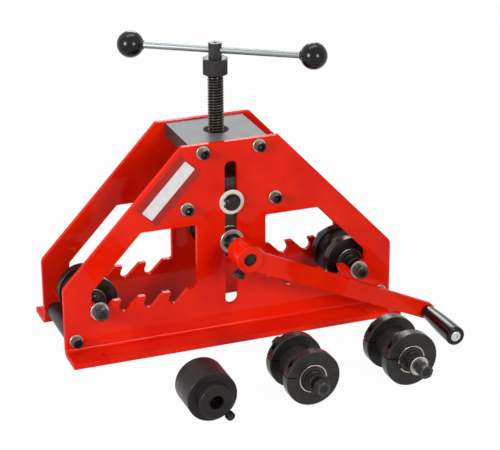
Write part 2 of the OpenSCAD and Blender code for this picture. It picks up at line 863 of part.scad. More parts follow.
// Revolving grip: slim at the arm, thicker towards its rounded free end
module crank_grip() {
    n = arc_steps * 2;
    root = grip_root_d / 2;
    belly = grip_d / 2;
    run = grip_len - grip_nose_r;
    bore = spindle_d / 2 + run_fit;
    pocket = spindle_head_d / 2 + face_gap;
    pocket_depth = spindle_head_h + face_gap;
    color(knob_black) at_grip() translate([0, -grip_start, 0]) rotate([90, 0, 0])
        rotate_extrude() polygon([
            [bore, 0], [root - edge, 0],
            each [for (i = [0 : n]) [root + (belly - root) * sin(90 * i / n),
                                     edge + (run - edge) * i / n]],
            each [for (i = [1 : arc_steps])
                [belly - grip_nose_r + grip_nose_r * cos(90 * i / arc_steps),
                 run + grip_nose_r * sin(90 * i / arc_steps)]],
            [pocket, grip_len], [pocket, grip_len - pocket_depth],
            [bore, grip_len - pocket_depth]
        ]);
}

// Outer rollers: side is -1 for the left roller and 1 for the right one
module at_axle(side) {
    translate([side * axle_x, 0, axle_z]) children();
}

// An axle stud along Y, seen from its middle: a slimmer threaded end beyond each shoulder
module axle_stud_y() {
    rod_y(axle_d, -axle_nut_y, axle_nut_y);
    chamfered_rod_y(axle_thread_d, -axle_end, axle_end);
}

// The two nuts of a stud, tightened against its shoulders
module axle_nuts_y() {
    both_sides_y() difference() {
        hex_y(axle_hex_af, axle_nut_y, axle_nut_y + axle_nut_h);
        rod_y(axle_thread_d + hole_fit * 2, axle_nut_y - over, axle_end + over);
    }
}

module axle_stud(side) { color(black_steel) at_axle(side) axle_stud_y(); }
module axle_nuts(side) { color(black_steel) at_axle(side) axle_nuts_y(); }

module axle_washers(side) {
    color(zinc) at_axle(side) both_sides_y()
        tube_y(axle_washer_d, axle_d + hole_fit * 2, plate_out + face_gap,
               plate_out + face_gap + axle_washer_t);
}

// A bush with a step beside the bearing and a nose that fills the bearing's bore
module bush_y(face, end, nose) {
    difference() {
        union() {
            rod_y(bush_d, face + bush_step, end);
            rod_y(bush_step_d, face, face + bush_step + edge);
            rod_y(shaft_d, nose, face + edge);
        }
        rod_y(axle_d + face_gap * 2, nose - over, end + over);
    }
}

module axle_bushes(side) {
    color(black_steel) at_axle(side) both_sides_y()
        bush_y(roller_end - bearing_sink + face_gap, plate_in - face_gap, nose_tip_gap);
}

module outer_roller(side) {
    color(black_steel) at_axle(side)
        grooved_body(bearing_d + hole_fit * 2, bearing_d - race_t * 2, bearing_w + bearing_sink);
}

module outer_bearings(side) {
    color(bright) at_axle(side) both_sides_y()
        ball_bearing(roller_end - bearing_sink - bearing_w);
}

// Plain roller with a hub, a through bore and a radial lock screw; its face looks to -Y
module at_plain() { translate([plain_x, plain_y, plain_d / 2]) children(); }

module at_plain_screw() {
    at_plain() translate([0, -plain_screw_back, 0]) rotate([0, 90 + plain_screw_angle, 0])
        children();
}

module plain_roller() {
    color(black_steel) difference() {
        at_plain() difference() {
            union() {
                chamfered_rod_y(plain_d, 0, plain_len);
                chamfered_rod_y(plain_hub_d, -plain_hub_len, edge * 2);
            }
            rod_y(shaft_d + run_fit * 2, -plain_hub_len - over, plain_len + over);
        }
        at_plain_screw() cylinder(d = plain_screw_d + hole_fit * 2, h = plain_hub_d);
    }
}

module plain_roller_screw() {
    head = plain_hub_d / 2 + plain_screw_stand;
    low = shaft_d / 2 + edge;
    color(black_steel) at_plain_screw() difference() {
        union() {
            translate([0, 0, low]) cylinder(d = plain_screw_d, h = head - low + edge);
            translate([0, 0, head])
                cylinder(d = plain_screw_d * small_head_share, h = plain_screw_d);
        }
        translate([0, 0, head + plain_screw_d / 2])
            cylinder(d = plain_screw_d * cap_socket_share, h = plain_screw_d, $fn = 6);
    }
}

// Collar rollers: a drum on bearings with two split collars that clamp on it.
// A place holds the X and Y of the near end face and the roller's turn on the bench.
module at_drum(place) {
    translate([place[0], place[1], collar_d / 2]) rotate([0, 0, place[2]]) children();
}

module drum(place) {
    seat = bearing_w + bearing_sink;
    r = drum_d / 2;
    waist = bearing_d / 2 - race_t;
    bore = bearing_d / 2 + hole_fit;
    color(black_steel) at_drum(place) rotate([-90, 0, 0]) rotate_extrude() polygon([
        [bore, 0], [r, 0], [r, drum_len], [bore, drum_len],
        [bore, drum_len - seat], [waist, drum_len - seat], [waist, seat], [bore, seat]]);
}

module drum_bearings(place) {
    color(bright) at_drum(place) {
        ball_bearing(bearing_sink);
        ball_bearing(drum_len - bearing_sink - bearing_w);
    }
}

// A split collar: a slit towards -X and a screw across it that pinches the collar shut
module clamp_collar(from) {
    reach = collar_d / 2;
    translate([0, from, 0]) rotate([0, slit_turn, 0]) difference() {
        chamfered_rod_y(collar_d, 0, collar_w);
        rod_y(drum_d + face_gap, -over, collar_w + over);
        translate([-collar_d, -over, -slit_w / 2]) cube([collar_d, collar_w + over * 2, slit_w]);
        translate([-pinch_r, collar_w / 2, 0]) {
            translate([0, 0, pinch_head_z])
                cylinder(d = pinch_d * small_head_share + face_gap * 2, h = reach);
            translate([0, 0, -pinch_low_z - edge])
                cylinder(d = pinch_d + hole_fit * 2, h = reach);
        }
    }
}

module pinch_screw(from) {
    low = -pinch_low_z;
    head = pinch_head_z + hole_fit;
    translate([0, from + collar_w / 2, 0]) rotate([0, slit_turn, 0])
        translate([-pinch_r, 0, 0]) difference() {
            union() {
                translate([0, 0, low]) cylinder(d = pinch_d, h = head - low + edge);
                translate([0, 0, head]) cylinder(d = pinch_d * small_head_share, h = pinch_d);
            }
            translate([0, 0, head + pinch_d / 2])
                cylinder(d = pinch_d * cap_socket_share, h = pinch_d, $fn = 6);
        }
}

far_y = drum_len - collar_w;

module near_collar(place) { color(black_steel) at_drum(place) clamp_collar(0); }
module far_collar(place) { color(black_steel) at_drum(place) clamp_collar(far_y); }
module near_screw(place) { color(black_steel) at_drum(place) pinch_screw(0); }
module far_screw(place) { color(black_steel) at_drum(place) pinch_screw(far_y); }

// The near bush has a radial lock screw, turned by the given angle from +X towards the bench
module at_bush_screw(place, angle) {
    at_drum(place) translate([0, -bush_screw_out, 0]) rotate([0, 90 + angle, 0]) children();
}

module spare_bushes(place, angle) {
    face = drum_len / 2 - bearing_sink + face_gap;
    color(black_steel) difference() {
        at_drum(place) translate([0, drum_len / 2, 0]) both_sides_y()
            bush_y(face, spare_bush_end, nose_tip_gap);
        at_bush_screw(place, angle) cylinder(d = bush_screw_d + hole_fit * 2, h = bush_d);
    }
}

module bush_screw(place, angle) {
    low = axle_d / 2 + face_gap * 2;
    head = bush_d / 2 + edge * 2;
    color(black_steel) at_bush_screw(place, angle) {
        translate([0, 0, low]) cylinder(d = bush_screw_d, h = head - low + edge);
        translate([0, 0, head]) cylinder(d = bush_screw_d * small_head_share, h = bush_screw_len);
    }
}

// The spare studs are pulled forward, so that the near nut stands out from its bush
module at_spare_stud(place, stand) {
    at_drum(place) translate([0, drum_len / 2 - spare_bush_end - stand + axle_nut_y, 0]) children();
}

module spare_stud(place, stand) { color(black_steel) at_spare_stud(place, stand) axle_stud_y(); }
module spare_nuts(place, stand) { color(black_steel) at_spare_stud(place, stand) axle_nuts_y(); }

module loose_washer(place) {
    color(zinc) at_drum(place) translate([0, drum_len / 2 - spare_bush_end - loose_washer_stand, 0])
        tube_y(axle_washer_d, axle_d + hole_fit * 2, -axle_washer_t, 0);
}

front_plate();
rear_plate();
top_block();
mid_spacers();
foot_spacers();
cap_screws();
screw_washers();
carriage_yoke();
guide_pin();
guide_pin_washers();
guide_pin_circlips();
shaft_bearings();
press_screw();
screw_hex();
screw_circlip();
tee_bar();
ball_knobs();
drive_shaft();
centre_roller();
centre_roller_screw();
shaft_spacers();
shaft_washers();
shaft_circlips();
crank_hub();
crank_arm();
hub_clamp_bolt();
grip_spindle();
crank_grip();
axle_stud(-1);  // left_axle_stud
axle_nuts(-1);  // left_axle_nuts
axle_washers(-1);  // left_axle_washers
axle_bushes(-1);  // left_axle_bushes
outer_roller(-1);  // left_roller
outer_bearings(-1);  // left_roller_bearings
axle_stud(1);  // right_axle_stud
axle_nuts(1);  // right_axle_nuts
axle_washers(1);  // right_axle_washers
axle_bushes(1);  // right_axle_bushes
outer_roller(1);  // right_roller
outer_bearings(1);  // right_roller_bearings
plain_roller();
plain_roller_screw();
drum(drum_a_place);  // drum_a
drum_bearings(drum_a_place);  // drum_a_bearings
near_collar(drum_a_place);  // drum_a_near_collar
near_screw(drum_a_place);  // drum_a_near_screw
far_collar(drum_a_place);  // drum_a_far_collar
far_screw(drum_a_place);  // drum_a_far_screw
spare_bushes(drum_a_place, bush_screw_angle_a);  // drum_a_bushes
bush_screw(drum_a_place, bush_screw_angle_a);  // drum_a_bush_screw
spare_stud(drum_a_place, nut_a_stand);  // drum_a_stud
spare_nuts(drum_a_place, nut_a_stand);  // drum_a_nuts
drum(drum_b_place);  // drum_b
drum_bearings(drum_b_place);  // drum_b_bearings
near_collar(drum_b_place);  // drum_b_near_collar
near_screw(drum_b_place);  // drum_b_near_screw
far_collar(drum_b_place);  // drum_b_far_collar
far_screw(drum_b_place);  // drum_b_far_screw
spare_bushes(drum_b_place, bush_screw_angle_b);  // drum_b_bushes
bush_screw(drum_b_place, bush_screw_angle_b);  // drum_b_bush_screw
spare_stud(drum_b_place, nut_b_stand);  // drum_b_stud
spare_nuts(drum_b_place, nut_b_stand);  // drum_b_nuts
loose_washer(drum_b_place);  // drum_b_washer
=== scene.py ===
"""The looks of a hand-cranked ring roller with three spare rollers in front of it.

Lengths are in millimetres until a mesh is made. X runs along the side plates, -Y is the crank
side and Z is up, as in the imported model.
"""

import math

import bmesh
import bpy
import numpy as np
from mathutils import Matrix, Vector


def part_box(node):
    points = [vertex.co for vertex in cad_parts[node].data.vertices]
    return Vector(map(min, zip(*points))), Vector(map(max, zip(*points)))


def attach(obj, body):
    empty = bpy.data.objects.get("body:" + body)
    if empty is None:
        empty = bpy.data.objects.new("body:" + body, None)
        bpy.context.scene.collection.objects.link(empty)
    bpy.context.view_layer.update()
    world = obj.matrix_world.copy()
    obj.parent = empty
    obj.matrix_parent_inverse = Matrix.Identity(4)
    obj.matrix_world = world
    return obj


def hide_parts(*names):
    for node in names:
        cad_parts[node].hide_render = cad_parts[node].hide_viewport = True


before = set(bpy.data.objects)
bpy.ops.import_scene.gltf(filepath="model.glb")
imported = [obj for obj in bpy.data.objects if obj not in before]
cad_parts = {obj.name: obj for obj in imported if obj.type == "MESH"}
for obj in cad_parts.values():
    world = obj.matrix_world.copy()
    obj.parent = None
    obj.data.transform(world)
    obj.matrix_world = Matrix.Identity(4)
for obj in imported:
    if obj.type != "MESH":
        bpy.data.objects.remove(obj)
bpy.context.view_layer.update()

MM = 0.001


# Places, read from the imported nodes

def low(node):
    """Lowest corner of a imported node, in millimetres."""
    return np.array(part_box(node)[0]) / MM


def high(node):
    """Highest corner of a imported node, in millimetres."""
    return np.array(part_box(node)[1]) / MM


def middle(node):
    """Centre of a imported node's box, in millimetres."""
    return (low(node) + high(node)) / 2


AXLE_X = middle("right_roller")[0]
AXLE_Z = middle("right_roller")[2]
SHAFT_Z = middle("drive_shaft")[2]
PIN_Z = middle("guide_pin")[2]

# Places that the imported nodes' boxes don't give: the cap screws as (x, z) on the right half, and
# the spare rollers as the middle of the near face, for the drums with their turn in degrees
CAP_PLACES = ((43.6, 290), (69, 206), (244, 24))
DRUM_PLACES = {"drum_a": ((20, -331, 40), 1.5), "drum_b": ((172, -326.5, 40), 2.5)}
PLAIN_PLACE = (-125.7, -324, 36)

# Ways along Y
FRONT, BACK = (0, -1, 0), (0, 1, 0)

# Sizes. Faces, seats and ends are distances from the middle of the machine or the piece.
PLATE_IN = 55
PLATE_OUT = 63
GAP = 0.2  # between a side plate or a bearing and what runs on it
SHAFT_D = 20
SHAFT_BORE = SHAFT_D + 0.1
SHAFT_WASHER_T = 3
CLIP_SEAT = PLATE_OUT + GAP + SHAFT_WASHER_T
CLIP_W = 1.7
BEARING_D = 42
BEARING_W = 12
BEARING_BORE = BEARING_D + 0.2  # of the seat in a roller
BEARING_SUNK = 0.5  # from a roller's face to its bearing's
ROLLER_D = 78
ROLLER_END = 31
ROLLER_WAIST = 37  # bore between a roller's two bearing seats
CAP_D = 10
DRUM_LEN = 75
NUT_SEAT = 65.9
NUT_H = 14
STUD_END = 81.4
BUSH_NOSE = 4
DRILL_POINT = 0.02  # radius at the point of a drilled cone


# Shapes: each is a list of points and a list of faces, with its own axis along +Z

def unit(v):
    """A vector's direction, one long."""
    v = np.array(v, float)
    return v / np.linalg.norm(v)


def around(turns):
    """Evenly spaced angles of one full turn."""
    return np.linspace(0, 2 * np.pi, turns, endpoint=False)


def stack(radii, heights, closed=False, turns=96):
    """Rings stacked along Z: point (i, j) has radius radii[i, j] and height heights[i, j] at the
    angle 2 pi j / turns. A closed stack joins its last ring to its first, and an open one ends
    in flat caps."""
    a = around(turns)
    r = np.broadcast_to(np.array(radii, float).reshape(len(radii), -1), (len(radii), turns))
    z = np.broadcast_to(np.array(heights, float).reshape(len(radii), -1), (len(radii), turns))
    points = np.stack([r * np.cos(a), r * np.sin(a), z], axis=2).reshape(-1, 3)
    n = len(radii)
    i = np.arange(n if closed else n - 1)[:, None]
    j = np.arange(turns)[None, :]
    here, after = i * turns, ((i + 1) % n) * turns
    quads = np.stack([here + j, here + (j + 1) % turns, after + (j + 1) % turns, after + j], 2)
    faces = quads.reshape(-1, 4).tolist()
    if not closed:
        faces += [list(range(turns - 1, -1, -1)), list(range((n - 1) * turns, n * turns))]
    return points, faces


def ringed(rings, closed=False, turns=96):
    """A stack of (radius, height) rings: each is a number, or holds one value for each angle."""
    radii, heights = zip(*rings)
    return stack([np.broadcast_to(r, turns) for r in radii],
                 [np.broadcast_to(z, turns) for z in heights], closed, turns)


def arc_corner(before, corner, after, radius, steps):
    """Points of the arc that rounds a corner of an outline."""
    u, v = unit(before - corner), unit(after - corner)
    half = math.acos(np.clip(u @ v, -1, 1)) / 2
    most = 0.45  # of a side, so that two arcs on it never meet
    reach = min(radius / math.tan(half), most * np.linalg.norm(before - corner),
                most * np.linalg.norm(after - corner))
    r = reach * math.tan(half)
    centre = corner + unit(u + v) * r / math.sin(half)
    start, end = corner + u * reach - centre, corner + v * reach - centre
    a0, a1 = math.atan2(start[1], start[0]), math.atan2(end[1], end[0])
    sweep = (a1 - a0 + math.pi) % (2 * math.pi) - math.pi
    a = a0 + sweep * np.linspace(0, 1, steps + 1)
    return [centre + r * np.array([math.cos(t), math.sin(t)]) for t in a]


def softened(outline, radius, loop=False, steps=4):
    """An outline of (radius, height) points with each corner that turns over 15 degrees
    rounded. The ends of an open outline are kept."""
    p = [np.array(q, float) for q in outline]
    straight = math.cos(math.radians(15))
    out = []
    for k, q in enumerate(p):
        before, after = p[k - 1], p[(k + 1) % len(p)]
        inner = loop or 0 < k < len(p) - 1
        if inner and unit(q - before) @ unit(after - q) < straight:
            out += arc_corner(before, q, after, radius, steps)
        else:
            out.append(q)
    return np.array(out)


def lathe(outline, radius=0.3, turns=96, loop=False):
    """A turned piece: the softened outline swept round Z. An outline that starts and ends on the
    axis makes a solid bar, and a loop makes a ring."""
    p = softened(outline, radius, loop)
    return stack(p[:, 0], p[:, 1], closed=loop, turns=turns)


def bar_outline(r, length, chamfer):
    """Half outline of a round bar with chamfered ends."""
    return [(0, 0), (r - chamfer, 0), (r, chamfer), (r, length - chamfer),
            (r - chamfer, length), (0, length)]


def tube(outer_d, bore_d, length, chamfer=0.5, turns=96):
    """A round ring with chamfered outer edges, standing on z = 0."""
    r, b = outer_d / 2, bore_d / 2
    return lathe([(b, 0), (r - chamfer, 0), (r, chamfer), (r, length - chamfer),
                  (r - chamfer, length), (b, length)], 0.15, turns, loop=True)


def hexagon_radius(across_flats, angles):
    """Distance from the middle of a hexagon to its outline at each angle: half the width across
    the flats over the cosine of the angle to the nearest flat's middle."""
    return across_flats / 2 / np.cos((angles + np.pi) % (np.pi / 3) - np.pi / 6)


def hexagon(across_flats, height, bore_d=0, both=False, turns=96):
    """A hexagonal head or nut: its sides end where a 30 degree cone cuts them, so the corners
    curve down. The far face, and with both the near face too, is round inside that cut."""
    rho = hexagon_radius(across_flats, around(turns))
    face_r = across_flats / 2 * 0.96
    drop = (rho - face_r) * math.tan(math.radians(30))
    rings = [(face_r, 0), (rho, drop)] if both else [(rho, 0)]
    rings += [(rho, height - drop), (face_r, height)]
    if bore_d:
        rings = [(bore_d / 2, 0)] + rings + [(bore_d / 2, height)]
    return ringed(rings, bool(bore_d), turns)


def socket_head(d, height, socket_af, knurls=36):
    """A cap screw's head as its knurled sleeve and its core with a hexagonal socket, which ends
    in a drilled cone. The knurl is a cosine ripple on the radius that fades out towards the
    softened rim."""
    turns = knurls * 6
    a = around(turns)
    ripple = 0.014 * d * (np.cos(knurls * a) - 1)
    r, seam = d / 2, d / 2 - 1.1
    hexa = hexagon_radius(socket_af, a)
    sleeve = [(seam, 0), (r - 0.3, 0), (r + ripple, 0.4), (r + ripple, height * 0.72),
              (r - 0.1, height * 0.8), (r - 0.15, height - 0.9), (r - 0.5, height - 0.25),
              (seam, height)]
    core = [(seam - 0.02, 0), (seam - 0.02, height), (hexa + 0.4, height),
            (hexa, height - 0.4), (hexa, height * 0.45), (DRILL_POINT, height * 0.22)]
    return [ringed(sleeve, True, turns), ringed(core, False, turns)]


def socket_disc(d, height, socket_af):
    """A low round head with a softened rim and a hexagonal socket."""
    turns = 96
    r = d / 2
    hexa = hexagon_radius(socket_af, around(turns))
    return ringed([(r - 0.3, 0), (r, 0.3), (r, height - 1), (r - 0.35, height - 0.3),
                   (r - 1, height), (hexa + 0.3, height), (hexa, height - 0.3),
                   (hexa, height * 0.4), (DRILL_POINT, height * 0.25)], turns=turns)


def small_screw(d, length):
    """A headless socket screw standing on z = 0, with its socket, half as deep and wide as the
    screw, at the far end."""
    turns = 48
    r, chamfer = d / 2, 0.8
    hexa = hexagon_radius(d / 2, around(turns))
    return ringed([(r - chamfer, 0), (r, chamfer), (r, length - chamfer), (r - 0.6, length),
                   (hexa, length), (hexa, length - d / 2),
                   (DRILL_POINT, length - d / 2 - 0.8)], turns=turns)


def thread(d, pitch, length, depth, turns=64):
    """A right-hand threaded bar from z = 0: the radius falls from the crest by a rounded
    triangle wave of the height less the angle's share of the pitch, and fades at both ends."""
    lead_in, rings_per_pitch = 1.5 * pitch, 10
    rings = max(8, int(length / pitch * rings_per_pitch))
    z = np.linspace(0, length, rings)[:, None]
    a = around(turns)[None, :]
    phase = (z / pitch - a / (2 * np.pi)) % 1
    groove = np.clip(1.35 - np.abs(phase - 0.5) * 3.4, 0, 1)
    end = np.clip(np.minimum(z, length - z) / lead_in, 0, 1)
    r = d / 2 - depth * (1 - (1 - groove) * end)
    return stack(r, z + 0 * a, turns=turns)


def aim(shape, origin=(0, 0, 0), axis=(0, 0, 1), spin=0):
    """Turns a shape about its own axis by spin degrees, points that axis the given way and
    moves it to the origin given."""
    points, faces = shape
    s = math.radians(spin)
    points = points @ np.array([[math.cos(s), math.sin(s), 0], [-math.sin(s), math.cos(s), 0],
                                [0, 0, 1]])
    z = unit(axis)
    side = np.cross((0, 0, 1), z)
    x = unit(side) if np.linalg.norm(side) > 1e-6 else np.array([1.0, 0, 0])
    turn = np.array([x, np.cross(z, x), z])
    return points @ turn + np.array(origin, float), faces


def out_y(shape, x, y, z, front=True, spin=0):
    """Places a shape with its axis along Y, pointing out of the machine at the front or back."""
    return aim(shape, (x, -y if front else y, z), FRONT if front else BACK, spin)


def pair_y(shape, x, y, z):
    """The same shape at the front and at the back."""
    return [out_y(shape, x, y, z, front) for front in (True, False)]


# Pieces

def dress(obj, finish, body, nodes):
    """Gives a finished object its material and body, and hides the imported nodes it stands for.
    """
    obj.data.materials.clear()
    obj.data.materials.append(finish)
    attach(obj, body)
    if nodes:
        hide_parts(*nodes)
    return obj


def new_object(name, points, faces, crease=32):
    """A mesh object with merged points and outward normals, smooth up to the crease angle."""
    mesh = bpy.data.meshes.new(name)
    mesh.from_pydata(points, [], faces)
    bm = bmesh.new()
    bm.from_mesh(mesh)
    bmesh.ops.remove_doubles(bm, verts=bm.verts, dist=1e-6)
    bmesh.ops.recalc_face_normals(bm, faces=bm.faces)
    bm.to_mesh(mesh)
    bm.free()
    mesh.shade_smooth()
    mesh.set_sharp_from_angle(angle=math.radians(crease))
    obj = bpy.data.objects.new(name, mesh)
    bpy.context.scene.collection.objects.link(obj)
    return obj


def piece(name, shapes, finish, body, nodes=(), crease=32):
    """One object made of several shapes, in place."""
    points, faces, start = [], [], 0
    for p, f in shapes:
        points.append(p)
        faces += [[v + start for v in face] for face in f]
        start += len(p)
    obj = new_object(name, np.vstack(points) * MM, faces, crease)
    return dress(obj, finish, body, nodes)


def eased(node, finish, body, width):
    """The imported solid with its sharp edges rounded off: the loose triangles are merged, flat
    faces are joined, and each edge over 30 degrees gets a small round of the given width."""
    same_point = 2e-6
    bm = bmesh.new()
    bm.from_mesh(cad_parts[node].data)
    bmesh.ops.remove_doubles(bm, verts=bm.verts, dist=same_point)
    bmesh.ops.dissolve_limit(bm, angle_limit=math.radians(0.3), verts=bm.verts, edges=bm.edges)
    bm.verts.index_update()
    points = np.array([v.co for v in bm.verts])
    faces = [[v.index for v in f.verts] for f in bm.faces]
    bm.free()
    obj = new_object(node + "_eased", points, faces)
    rounding = obj.modifiers.new("rounding", 'BEVEL')
    rounding.width = width * MM
    rounding.segments = 3
    rounding.limit_method = 'ANGLE'
    rounding.angle_limit = math.radians(30)
    rounding.harden_normals = True
    rounding.use_clamp_overlap = True
    return dress(obj, finish, body, (node,))


# Materials

def colour(hexa):
    """An sRGB hex value as a linear colour."""
    s = [int(hexa[k:k + 2], 16) / 255 for k in (1, 3, 5)]
    return [c / 12.92 if c <= 0.04045 else ((c + 0.055) / 1.055) ** 2.4 for c in s] + [1.0]


def add(tree, kind, sockets=None, **settings):
    """Adds a node with its settings; a socket gets a value or another node's output."""
    node = tree.nodes.new(kind)
    for key, value in settings.items():
        setattr(node, key, value)
    for key, value in (sockets or {}).items():
        if isinstance(value, bpy.types.NodeSocket):
            tree.links.new(value, node.inputs[key])
        else:
            node.inputs[key].default_value = value
    return node


def start_material(name, centre=(0, 0, 0), turn=0):
    """An empty material and its coordinates, in millimetres from the centre given, turned back
    by the given angle about Z."""
    material = bpy.data.materials.new(name)
    material.use_nodes = True
    tree = material.node_tree
    tree.nodes.clear()
    place = add(tree, "ShaderNodeTexCoord")
    local = add(tree, "ShaderNodeMapping", {
        "Vector": place.outputs["Object"],
        "Location": tuple(c * MM for c in centre),
        "Rotation": (0, 0, math.radians(turn)),
        "Scale": (MM, MM, MM)}, vector_type='TEXTURE')
    return material, tree, local.outputs["Vector"]


def finish_material(tree, sockets):
    """Joins a Principled shader with the given sockets to the output."""
    shader = add(tree, "ShaderNodeBsdfPrincipled", sockets)
    add(tree, "ShaderNodeOutputMaterial", {"Surface": shader.outputs[0]})


def cloud(tree, at, size, detail=3.0, stretch=(1, 1, 1)):
    """Soft noise whose blotches are about size millimetres across."""
    drawn = add(tree, "ShaderNodeVectorMath", {0: at, 1: stretch}, operation='MULTIPLY')
    noise = add(tree, "ShaderNodeTexNoise", {"Vector": drawn.outputs[0], "Scale": 1 / size,
                                             "Detail": detail, "Roughness": 0.55})
    return noise.outputs[0]


def between(tree, factor, first, second, low_edge=0.35, high_edge=0.65):
    """Mixes two colours by a factor that is stretched between its two edges."""
    span = add(tree, "ShaderNodeMapRange", {"Value": factor, "From Min": low_edge,
                                            "From Max": high_edge})
    mix = add(tree, "ShaderNodeMix", {"Factor": span.outputs[0], 6: first, 7: second},
              data_type='RGBA')
    return mix.outputs[2]


def spread(tree, factor, low_value, high_value):
    """Maps a factor of 0 to 1 onto a range of values."""
    out = add(tree, "ShaderNodeMapRange", {"Value": factor, "To Min": low_value,
                                           "To Max": high_value})
    return out.outputs[0]


def bump(tree, height, distance, strength):
    """A bump whose full height is distance, in millimetres."""
    return add(tree, "ShaderNodeBump", {"Height": height, "Distance": distance * MM,
                                        "Strength": strength}).outputs[0]


def enamel(name):
    """Stoved gloss enamel on laser-cut plate: a strong red with a wet gloss, a faint orange
    peel about 3 mm across and a slightly uneven depth of colour."""
    material, tree, at = start_material(name)
    tone = between(tree, cloud(tree, at, 90), colour("#CE1003"), colour("#E22106"),
                   0.3, 0.6)
    peel = cloud(tree, at, 3.0, 1.0)
    finish_material(tree, {
        "Base Color": tone,
        "Roughness": spread(tree, cloud(tree, at, 25), 0.28, 0.36),
        "Specular IOR Level": 0.0,
        "Coat Weight": 0.25, "Coat Roughness": 0.07,
        "Normal": bump(tree, peel, 0.05, 0.35)})
    return material


def oxide(name, centre, turn=0, tone="#1F1D1D", warm="#2A2524", rough=0.25):
    """Hot black oxide on turned steel: near black with a brown cast, a soft metallic sheen, and
    turning marks that are rings on the faces and hoops on the sides. They are drawn coarser
    than real ones, so that they show. The axis runs along Y through the centre given."""
    mark_pitch = 0.9
    material, tree, at = start_material(name, centre, turn)
    parts = add(tree, "ShaderNodeSeparateXYZ", {"Vector": at})
    flat = add(tree, "ShaderNodeCombineXYZ", {"X": parts.outputs[0], "Z": parts.outputs[2]})
    radius = add(tree, "ShaderNodeVectorMath", {0: flat.outputs[0]}, operation='LENGTH')
    ramp = add(tree, "ShaderNodeMath", {0: radius.outputs[1], 1: parts.outputs[1]},
               operation='ADD')
    phase = add(tree, "ShaderNodeMath", {0: ramp.outputs[0], 1: 2 * math.pi / mark_pitch},
                operation='MULTIPLY')
    marks = add(tree, "ShaderNodeMath", {0: phase.outputs[0]}, operation='SINE')
    stain = cloud(tree, at, 14, 4.0)
    tint = between(tree, stain, colour(tone), colour(warm))
    finish_material(tree, {
        "Base Color": tint, "Metallic": 0.4,
        "Roughness": spread(tree, cloud(tree, at, 5), rough - 0.09, rough + 0.07),
        "Specular IOR Level": 0.32,
        "Normal": bump(tree, marks.outputs[0], 0.012, 0.5)})
    return material


def thread_wear_and_painted_shade(name, crest_r, root_r):
    """Oiled black oxide on a press screw, coloured by the distance from the axis, from the root
    radius out to the crest, with stains about 9 mm across. The grooves are painted darker as
    shade. The crests are painted lighter, partly as wear rubbed to bare steel by the nut and
    partly as a painted highlight."""
    material, tree, at = start_material(name)
    flat = add(tree, "ShaderNodeVectorMath", {0: at, 1: (1, 1, 0)}, operation='MULTIPLY')
    radius = add(tree, "ShaderNodeVectorMath", {0: flat.outputs[0]}, operation='LENGTH')
    depth = add(tree, "ShaderNodeMapRange", {"Value": radius.outputs[1], "From Min": root_r,
                                             "From Max": crest_r})
    stain = cloud(tree, at, 9, 4.0)
    # Painted shade darkens the grooves; the crests are lighter, partly as wear and partly as a
    # painted highlight.
    painted_groove_shade = between(tree, stain, colour("#120F0E"), colour("#241A15"))
    worn_crest_painted_highlight = between(tree, stain, colour("#3B322D"), colour("#6A5F57"))
    tint = between(tree, depth.outputs[0], painted_groove_shade, worn_crest_painted_highlight, 0.55, 1.0)
    finish_material(tree, {
        "Base Color": tint, "Metallic": 0.7,
        "Roughness": spread(tree, cloud(tree, at, 3), 0.20, 0.34)})
    return material


def scaled_steel(name, tone="#232121", warm="#302A28", rough=0.3):
    """Blackened or scaled steel, as bolts, nuts, yoke and clips are: dark, with stains about
    7 mm across and a fine grain. It runs from the given roughness to a little above."""
    material, tree, at = start_material(name)
    tint = between(tree, cloud(tree, at, 7, 4.0), colour(tone), colour(warm))
    grain = cloud(tree, at, 0.6, 2.0)
    finish_material(tree, {
        "Base Color": tint, "Metallic": 0.5,
        "Roughness": spread(tree, cloud(tree, at, 3), rough, rough + 0.14),
        "Specular IOR Level": 0.35,
        "Normal": bump(tree, grain, 0.02, 0.35)})
    return material


def zinc_plate(name, tone, cool, rough, grain=0.4):
    """Zinc plating: a pale metal with soft clouding and a sheen that spreads the highlights.
    The grain is the strength of a very fine bump."""
    material, tree, at = start_material(name)
    tint = between(tree, cloud(tree, at, 6, 4.0), colour(tone), colour(cool))
    finish_material(tree, {
        "Base Color": tint, "Metallic": 1.0,
        "Roughness": spread(tree, cloud(tree, at, 4), rough, rough + 0.09),
        "Normal": bump(tree, cloud(tree, at, 0.8), 0.01, grain)})
    return material


def washer_zinc(name):
    """Thick pale zinc on a punched washer: a cream white that is nearly matt, with soft
    clouding about 5 mm across."""
    material, tree, at = start_material(name)
    tint = between(tree, cloud(tree, at, 5, 4.0), colour("#D9D6CA"), colour("#CBC8BC"))
    finish_material(tree, {
        "Base Color": tint, "Metallic": 0.35,
        "Roughness": spread(tree, cloud(tree, at, 3), 0.36, 0.46)})
    return material


def ground_block(name):
    """A steel block whose top is ground bright grey with fine lines along X, about 0.5 mm
    apart, and whose sides keep their dark mill skin."""
    material, tree, at = start_material(name)
    parts = add(tree, "ShaderNodeSeparateXYZ", {"Vector": at})
    face = high("top_block")[2]
    top = add(tree, "ShaderNodeMapRange", {"Value": parts.outputs[2], "From Min": face - 0.6,
                                           "From Max": face - 0.25})
    lines = cloud(tree, at, 0.5, 2.0, (0.02, 1, 1))
    shine = between(tree, cloud(tree, at, 22, 3.0), colour("#5F6366"), colour("#65696C"))
    skin = between(tree, cloud(tree, at, 9, 4.0), colour("#2B2727"), colour("#3B3432"))
    tint = add(tree, "ShaderNodeMix", {"Factor": top.outputs[0], 6: skin, 7: shine},
               data_type='RGBA')
    finish_material(tree, {
        "Base Color": tint.outputs[2], "Metallic": 0.1, "Specular IOR Level": 0.3,
        "Roughness": spread(tree, lines, 0.42, 0.56),
        "Normal": bump(tree, lines, 0.015, 0.5)})
    return material


